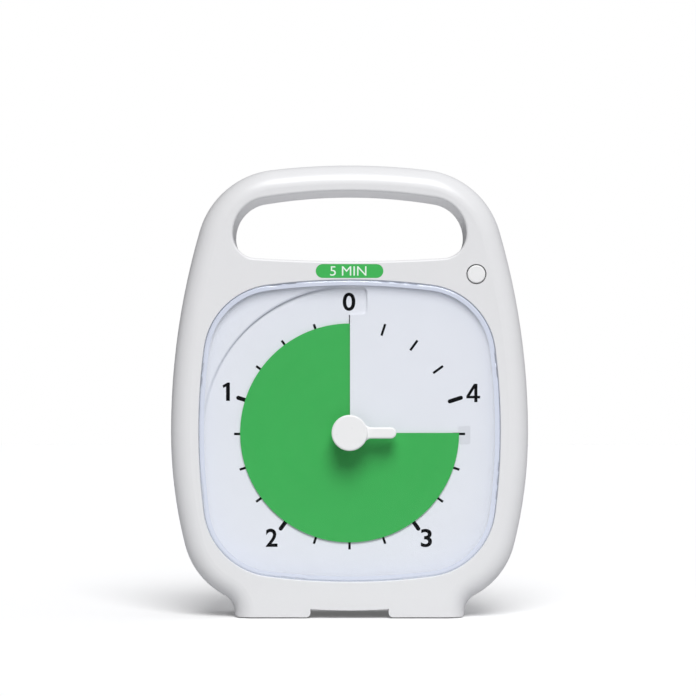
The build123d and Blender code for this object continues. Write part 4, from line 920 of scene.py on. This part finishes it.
# ---- Finishes -----------------------------------------------------------------------
class TIMER_OT_housing(bpy.types.Operator):
    """Finish the white housing, its door, the knobs and the foot pads."""

    bl_idname = "timer.housing"
    bl_label = "Housing"

    def execute(self, context):
        colours = context.scene.timer_colours
        abs_white = spark_eroded_abs("abs_spark_eroded_white", colours.housing)
        finish_all("front_shell rear_shell battery_door", abs_white)
        # ABS from a polished mould: a tighter highlight than the housing's.
        knob = moulded_plastic("abs_polished_white", colours.knobs, 0.28, 0.6, 0.006)
        finish_all("setting_knob push_button volume_knob", knob)
        # Pressed nitrile rubber: grey-black, matt and finely pebbled.
        rubber = coarse_matter(
            "nitrile_rubber_pad", linear("#26272A"), linear("#3A3B3F"), 0.8, 0.5, 0.03
        )
        finish_all("foot_pads", rubber)
        return {"FINISHED"}


class TIMER_OT_dial(bpy.types.Operator):
    """Finish the dial, its carrier, the countdown disk and the label."""

    bl_idname = "timer.dial"
    bl_label = "Dial and disk"

    def execute(self, context):
        colours = context.scene.timer_colours
        dial = recessed_sheet("polystyrene_lacquered_sheet", colours.dial, 0.55)
        finish_all("dial_face", dial)
        # Plain ABS that nobody sees, so it is left with the mould's rougher skin.
        carrier = moulded_plastic("abs_rough_moulded", linear("#E2E2E2"), 0.5, 0.4, 0.015)
        finish_all("dial_carrier", carrier)
        finish_all("countdown_disk", turning_film("polypropylene_coloured_film", colours.disk))
        finish_all("duration_label", printed_sheet("vinyl_inlaid_label", colours.label, 0.42))
        return {"FINISHED"}


class TIMER_OT_window(bpy.types.Operator):
    """Finish the clear window."""

    bl_idname = "timer.window"
    bl_label = "Window"

    def execute(self, context):
        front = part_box("lens")[0].y
        finish_all("lens", clear_polycarbonate("polycarbonate_clear_moulded", front))
        return {"FINISHED"}


class TIMER_OT_movement(bpy.types.Operator):
    """Finish the movement: its case, wheels, motor, coil and board."""

    bl_idname = "timer.movement"
    bl_label = "Movement"

    def execute(self, context):
        # Unpainted ABS, black all through, with a fine matt skin.
        black = moulded_plastic("abs_black_matt", linear("#1B1B1D"), 0.45, 0.4, 0.012)
        finish_all("movement_frame movement_cover button_switch", black)
        # Acetal: milky, waxy and slightly slippery to look at.
        acetal = moulded_plastic("acetal_moulded_natural", linear("#ECEAE1"), 0.33, 0.6, 0.005)
        finish_all("disk_hub centre_wheel third_wheel second_wheel rotor_pinion", acetal)
        # Nylon plugs and bobbin: whiter than acetal and a little duller.
        nylon = moulded_plastic("nylon_moulded_white", linear("#E6E5DF"), 0.42, 0.5, 0.008)
        finish_all("coil_bobbin battery_plug speaker_plug volume_shaft", nylon)
        # Sintered ferrite: nearly black, with the dull grey grain of a ground face.
        ferrite = coarse_matter(
            "ferrite_sintered", linear("#232326"), linear("#3A3A3E"), 0.55, 0.25, 0.01
        )
        finish_all("rotor_magnet", ferrite)
        finish_all("coil_winding", wound_copper("copper_enamelled_winding"))
        board = circuit_board("board_glass_fibre")
        finish_all("movement_board button_board control_board", board)
        # A poured drop of epoxy: glossy black with soft dimples.
        resin = moulded_plastic("epoxy_poured_black", linear("#0E0E0F"), 0.22, 1.6, 0.03)
        finish_all("movement_chip sound_chip", resin)
        # Pulp pressed on a wire mould: charcoal fibres that drink up the light.
        paper = coarse_matter(
            "paper_pressed_cone", linear("#101011"), linear("#2A2A2C"), 0.9, 0.4, 0.04
        )
        finish_all("speaker_cone", paper)
        return {"FINISHED"}


class TIMER_OT_metals(bpy.types.Operator):
    """Finish the spindle, screws, springs, bush, irons and cans."""

    bl_idname = "timer.metals"
    bl_label = "Metals"

    def execute(self, context):
        # Ground steel bar: bright, with fine rings round the spindle.
        ground = worked_metal("steel_ground_bar", linear("#BCBEC2"), 0.22, 0.25, (1, 10, 1))
        finish_all("spindle", ground)
        # Zinc plate on rolled screws: bluish silver with a soft shine.
        zinc = worked_metal("steel_zinc_plated", linear("#C6C9CE"), 0.3, 0.4, (1, 5, 1))
        finish_all("shell_screws carrier_screws movement_screws board_screws", zinc)
        # Nickel on drawn spring wire and strip: warmer and brighter than zinc.
        nickel = worked_metal("spring_steel_nickel_plated", linear("#CFCCC6"), 0.2, 0.4, (8, 1, 1))
        finish_all("retaining_clip clutch_spring positive_contact negative_contact", nickel)
        # Free-cutting brass with its turning lines, gone a little brown.
        brass = worked_metal("brass_turned", linear("#C7A252"), 0.28, 0.3, (1, 12, 1))
        finish_all("spindle_bush", brass)
        # Blanked silicon iron: grey, with the long lines of the rolling mill.
        iron = worked_metal("iron_rolled_strip", linear("#8D8E92"), 0.42, 0.5, (1, 1, 8))
        finish_all("stator coil_core", iron)
        # Deep-drawn cans: tin and aluminium, satin, with fine drawing lines.
        can = worked_metal("can_deep_drawn", linear("#C0C2C5"), 0.34, 0.5, (1, 7, 1))
        finish_all("quartz_crystal capacitor speaker_frame volume_control", can)
        return {"FINISHED"}


class TIMER_OT_power(bpy.types.Operator):
    """Finish the cell and the wires."""

    bl_idname = "timer.power"
    bl_label = "Cell and wires"

    def execute(self, context):
        cell = sleeved_cell("steel_can_in_sleeve", *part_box("battery_cell"))
        finish_all("battery_cell", cell)
        # Extruded PVC insulation: saturated, waxy and nearly smooth.
        for names, colour, code in (
            ("battery_lead_red", "red", "#B3201C"),
            ("battery_lead_black", "black", "#161617"),
            ("speaker_leads button_leads movement_leads", "grey", "#9A9CA0"),
        ):
            pvc = moulded_plastic(f"pvc_extruded_{colour}", linear(code), 0.38, 0.8, 0.004)
            finish_all(names, pvc)
        return {"FINISHED"}


# ---- Prints -------------------------------------------------------------------------
class TIMER_OT_numerals(bpy.types.Operator):
    """Print the minute numerals on the dial."""

    bl_idname = "timer.numerals"
    bl_label = "Numerals"

    def execute(self, context):
        sizes = context.scene.timer_sizes
        # Screen ink: dense black that dries matt, with hardly a sheen.
        ink = printed_sheet("screen_ink_black", context.scene.timer_colours.ink, 0.7, 1.15)
        drawn = {"1": ONE, "4": FOUR}
        for digit, (across, up, width) in NUMERALS.items():
            if digit in drawn:
                shape = add_outline(drawn[digit])
            else:
                shape = add_lettering(digit, TYPE_WEIGHT)
            front = dial_front(across, up) * MM - sizes.film
            height = (up + DIAL_HEIGHT) * MM
            fit_print(shape, across * MM, height, front, width * MM, sizes.numeral_height)
            settle(shape, f"numeral_{digit}", ink)
        return {"FINISHED"}


class TIMER_OT_marks(bpy.types.Operator):
    """Print the minute and quarter-minute marks round the dial."""

    bl_idname = "timer.marks"
    bl_label = "Marks"

    def execute(self, context):
        sizes = context.scene.timer_sizes
        ink = bpy.data.materials["screen_ink_black"]
        steps = range(1, MARK_COUNT)
        minutes = [step for step in steps if step % MARKS_A_MINUTE == 0]
        quarters = [step for step in steps if step % MARKS_A_MINUTE != 0]
        for places, width, end, rounding in (
            (minutes, sizes.minute_mark_width, sizes.minute_mark_end, MINUTE_MARK_ROUNDING),
            (quarters, sizes.short_mark_width, sizes.short_mark_end, SHORT_MARK_ROUNDING),
        ):
            model = add_bar(width, end - sizes.mark_start, rounding * width)
            for step in places:
                self.place_mark(model, step, (sizes.mark_start + end) / 2, ink, sizes.film)
            bpy.data.objects.remove(model)
        return {"FINISHED"}

    def place_mark(self, model, step, radius, ink, film):
        """Copy the model mark to its bearing on the dial."""
        select_only(model)
        bpy.ops.object.duplicate(linked=False)
        mark = bpy.context.object
        angle = math.tau * step / MARK_COUNT
        across = -radius * math.sin(angle)
        up = radius * math.cos(angle) - MARK_DROP * MM
        front = dial_front(across / MM, up / MM) * MM - film
        mark.rotation_euler = (0, -angle, 0)
        mark.location = (across, front + PRINT_BODY / 2 * MM, up + DIAL_HEIGHT * MM)
        settle(mark, f"mark_{step}", ink)


class TIMER_OT_patch(bpy.types.Operator):
    """Lay the faint clear patch beside the disk's rest edge."""

    bl_idname = "timer.patch"
    bl_label = "Clear patch"

    def execute(self, context):
        sizes = context.scene.timer_sizes
        patch = add_bar(PATCH_WIDTH * MM, PATCH_HEIGHT * MM, PATCH_CORNER * MM)
        # It lies flat, at the depth that the dial has at 3 o'clock, and thinner than ink.
        front = dial_front(PATCH_ACROSS, 0) * MM - sizes.film / 2
        patch.location = (
            PATCH_ACROSS * MM, front + PRINT_BODY / 2 * MM, (PATCH_UP + DIAL_HEIGHT) * MM
        )
        # Clear lacquer over the sheet: a shade deeper than the bare lacquered dial.
        dial = context.scene.timer_colours.dial
        lacquer = printed_sheet("lacquer_clear_patch", shade(dial, 0.88), 0.4)
        settle(patch, "rest_patch", lacquer)
        return {"FINISHED"}


class TIMER_OT_words(bpy.types.Operator):
    """Print the duration on the label."""

    bl_idname = "timer.words"
    bl_label = "Label words"

    def execute(self, context):
        sizes = context.scene.timer_sizes
        # Pale screen ink on the inlaid vinyl.
        ink = printed_sheet("screen_ink_pale", context.scene.timer_colours.words, 0.5)
        low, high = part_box("duration_label")
        words = add_lettering("5 MIN", 0.0)
        across, up, front = WORDS_ACROSS * MM, (low.z + high.z) / 2, low.y - sizes.film
        fit_print(words, across, up, front, WORDS_WIDTH * MM, sizes.words_height)
        settle(words, "label_words", ink)
        return {"FINISHED"}


# ---- Stage --------------------------------------------------------------------------
class TIMER_OT_stage(bpy.types.Operator):
    """Set the floor, the room's light, the softbox and the camera."""

    bl_idname = "timer.stage"
    bl_label = "Stage"

    def execute(self, context):
        scene = context.scene
        self.lay_floor()
        self.light_room(scene)
        stage = scene.timer_stage
        clear_selection()
        bpy.ops.object.light_add(type="SUN", location=(0, -1, 2))
        lamp = bpy.context.object
        lamp.name = "overhead_softbox"
        lamp.data.energy = stage.light
        lamp.data.angle = stage.light_spread
        lamp.rotation_euler = (stage.light_lean, 0, stage.light_turn)
        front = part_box("front_shell")[0].y
        clear_selection()
        bpy.ops.object.camera_add(
            location=(stage.eye_side, front - stage.distance, stage.eye_height),
            rotation=(FACE_ON, 0, 0),
        )
        camera = bpy.context.object
        camera.name = "studio_camera"
        camera.data.sensor_width = 36
        camera.data.lens = camera.data.sensor_width * stage.distance / stage.view_height
        camera.data.shift_y = (stage.view_middle - stage.eye_height) / stage.view_height
        camera.data.clip_end = 50
        scene.camera = camera
        scene.view_settings.view_transform = "Standard"
        return {"FINISHED"}

    def lay_floor(self):
        """A wide sheet of white paper, which lights the timer a little less than it shows."""
        # Matt paper, faintly fibrous, with a glow that brings it to the white of the room.
        clear_selection()
        bpy.ops.mesh.primitive_plane_add(size=FLOOR_SIZE, location=(0, FLOOR_BACK, 0))
        floor = bpy.context.object
        floor.name = "floor"
        bpy.ops.object.transform_apply(location=True, rotation=True, scale=True)
        material, tree, place, surface = new_material("studio_paper")
        fibres = add_node(tree, "ShaderNodeTexNoise", {"Vector": place, "Scale": 1 / (2 * MM)})
        relief = add_node(
            tree, "ShaderNodeBump",
            {"Height": fibres.outputs["Fac"], "Strength": 0.2, "Distance": 0.01 * MM},
        )
        white = add_node(
            tree, "ShaderNodeBsdfDiffuse",
            {"Color": linear("#FDFDFD"), "Normal": relief.outputs["Normal"]},
        )
        glow = add_node(tree, "ShaderNodeEmission", {"Strength": FLOOR_GLOW})
        lit = add_node(tree, "ShaderNodeAddShader", {0: white.outputs[0], 1: glow.outputs[0]})
        dull = add_node(tree, "ShaderNodeBsdfDiffuse", {"Color": linear("#D2D2D4")})
        seen = add_node(tree, "ShaderNodeLightPath").outputs["Is Camera Ray"]
        paper = add_node(
            tree, "ShaderNodeMixShader", {0: seen, 1: dull.outputs[0], 2: lit.outputs[0]}
        )
        tree.links.new(paper.outputs[0], surface)
        floor.data.materials.append(material)

    def light_room(self, scene):
        """A white room: brightest overhead, dark on the left and dimmer on the right."""
        world = bpy.data.worlds.new("studio_room")
        scene.world = world
        world.use_nodes = True
        tree = world.node_tree
        tree.nodes.clear()
        toward = add_node(tree, "ShaderNodeTexCoord").outputs["Generated"]
        parts = add_node(tree, "ShaderNodeSeparateXYZ", {"Vector": toward})
        level = ROOM_LEVEL
        for axis, span in (("X", ROOM_LEFT), ("X", ROOM_RIGHT), ("Z", ROOM_ABOVE)):
            change = add_node(
                tree, "ShaderNodeMapRange", {"Value": parts.outputs[axis], **span},
                interpolation_type="SMOOTHSTEP",
            )
            total = add_node(
                tree, "ShaderNodeMath", {0: level, 1: change.outputs["Result"]},
                operation="ADD",
            )
            level = total.outputs[0]
        seen = add_node(tree, "ShaderNodeLightPath").outputs["Is Camera Ray"]
        strength = add_node(tree, "ShaderNodeMath", {0: level, 1: seen}, operation="MAXIMUM")
        tint = add_node(
            tree, "ShaderNodeMix",
            {MIX_FACTOR: seen, MIX_LOW: linear("#FAFBFF"), MIX_HIGH: linear("#FFFFFF")},
            data_type="RGBA",
        )
        room = add_node(
            tree, "ShaderNodeBackground",
            {"Color": tint.outputs[MIX_RESULT], "Strength": strength.outputs[0]},
        )
        add_node(tree, "ShaderNodeOutputWorld", {"Surface": room.outputs[0]})


class TIMER_PT_sidebar(bpy.types.Panel):
    """Lists the timer's making steps."""

    bl_label = "Countdown Timer"
    bl_idname = "TIMER_PT_sidebar"
    bl_space_type = "VIEW_3D"
    bl_region_type = "UI"
    bl_category = "Timer"

    def draw(self, context):
        for step in STEPS:
            self.layout.operator(step.bl_idname)


STEPS = (
    TIMER_OT_housing,
    TIMER_OT_dial,
    TIMER_OT_window,
    TIMER_OT_movement,
    TIMER_OT_metals,
    TIMER_OT_power,
    TIMER_OT_numerals,
    TIMER_OT_marks,
    TIMER_OT_patch,
    TIMER_OT_words,
    TIMER_OT_stage,
)
CLASSES = (TimerColours, TimerPrintSizes, TimerStage, *STEPS, TIMER_PT_sidebar)


def register():
    """Register the add-on's classes and settings."""
    for kind in CLASSES:
        bpy.utils.register_class(kind)
    bpy.types.Scene.timer_colours = PointerProperty(type=TimerColours)
    bpy.types.Scene.timer_sizes = PointerProperty(type=TimerPrintSizes)
    bpy.types.Scene.timer_stage = PointerProperty(type=TimerStage)


def unregister():
    """Remove the add-on's settings and classes."""
    del bpy.types.Scene.timer_stage
    del bpy.types.Scene.timer_sizes
    del bpy.types.Scene.timer_colours
    for kind in reversed(CLASSES):
        bpy.utils.unregister_class(kind)


def main():
    """Register, and make each piece in order."""
    register()
    bpy.ops.timer.housing()
    bpy.ops.timer.dial()
    bpy.ops.timer.window()
    bpy.ops.timer.movement()
    bpy.ops.timer.metals()
    bpy.ops.timer.power()
    bpy.ops.timer.numerals()
    bpy.ops.timer.marks()
    bpy.ops.timer.patch()
    bpy.ops.timer.words()
    bpy.ops.timer.stage()


if __name__ == "__main__":
    main()
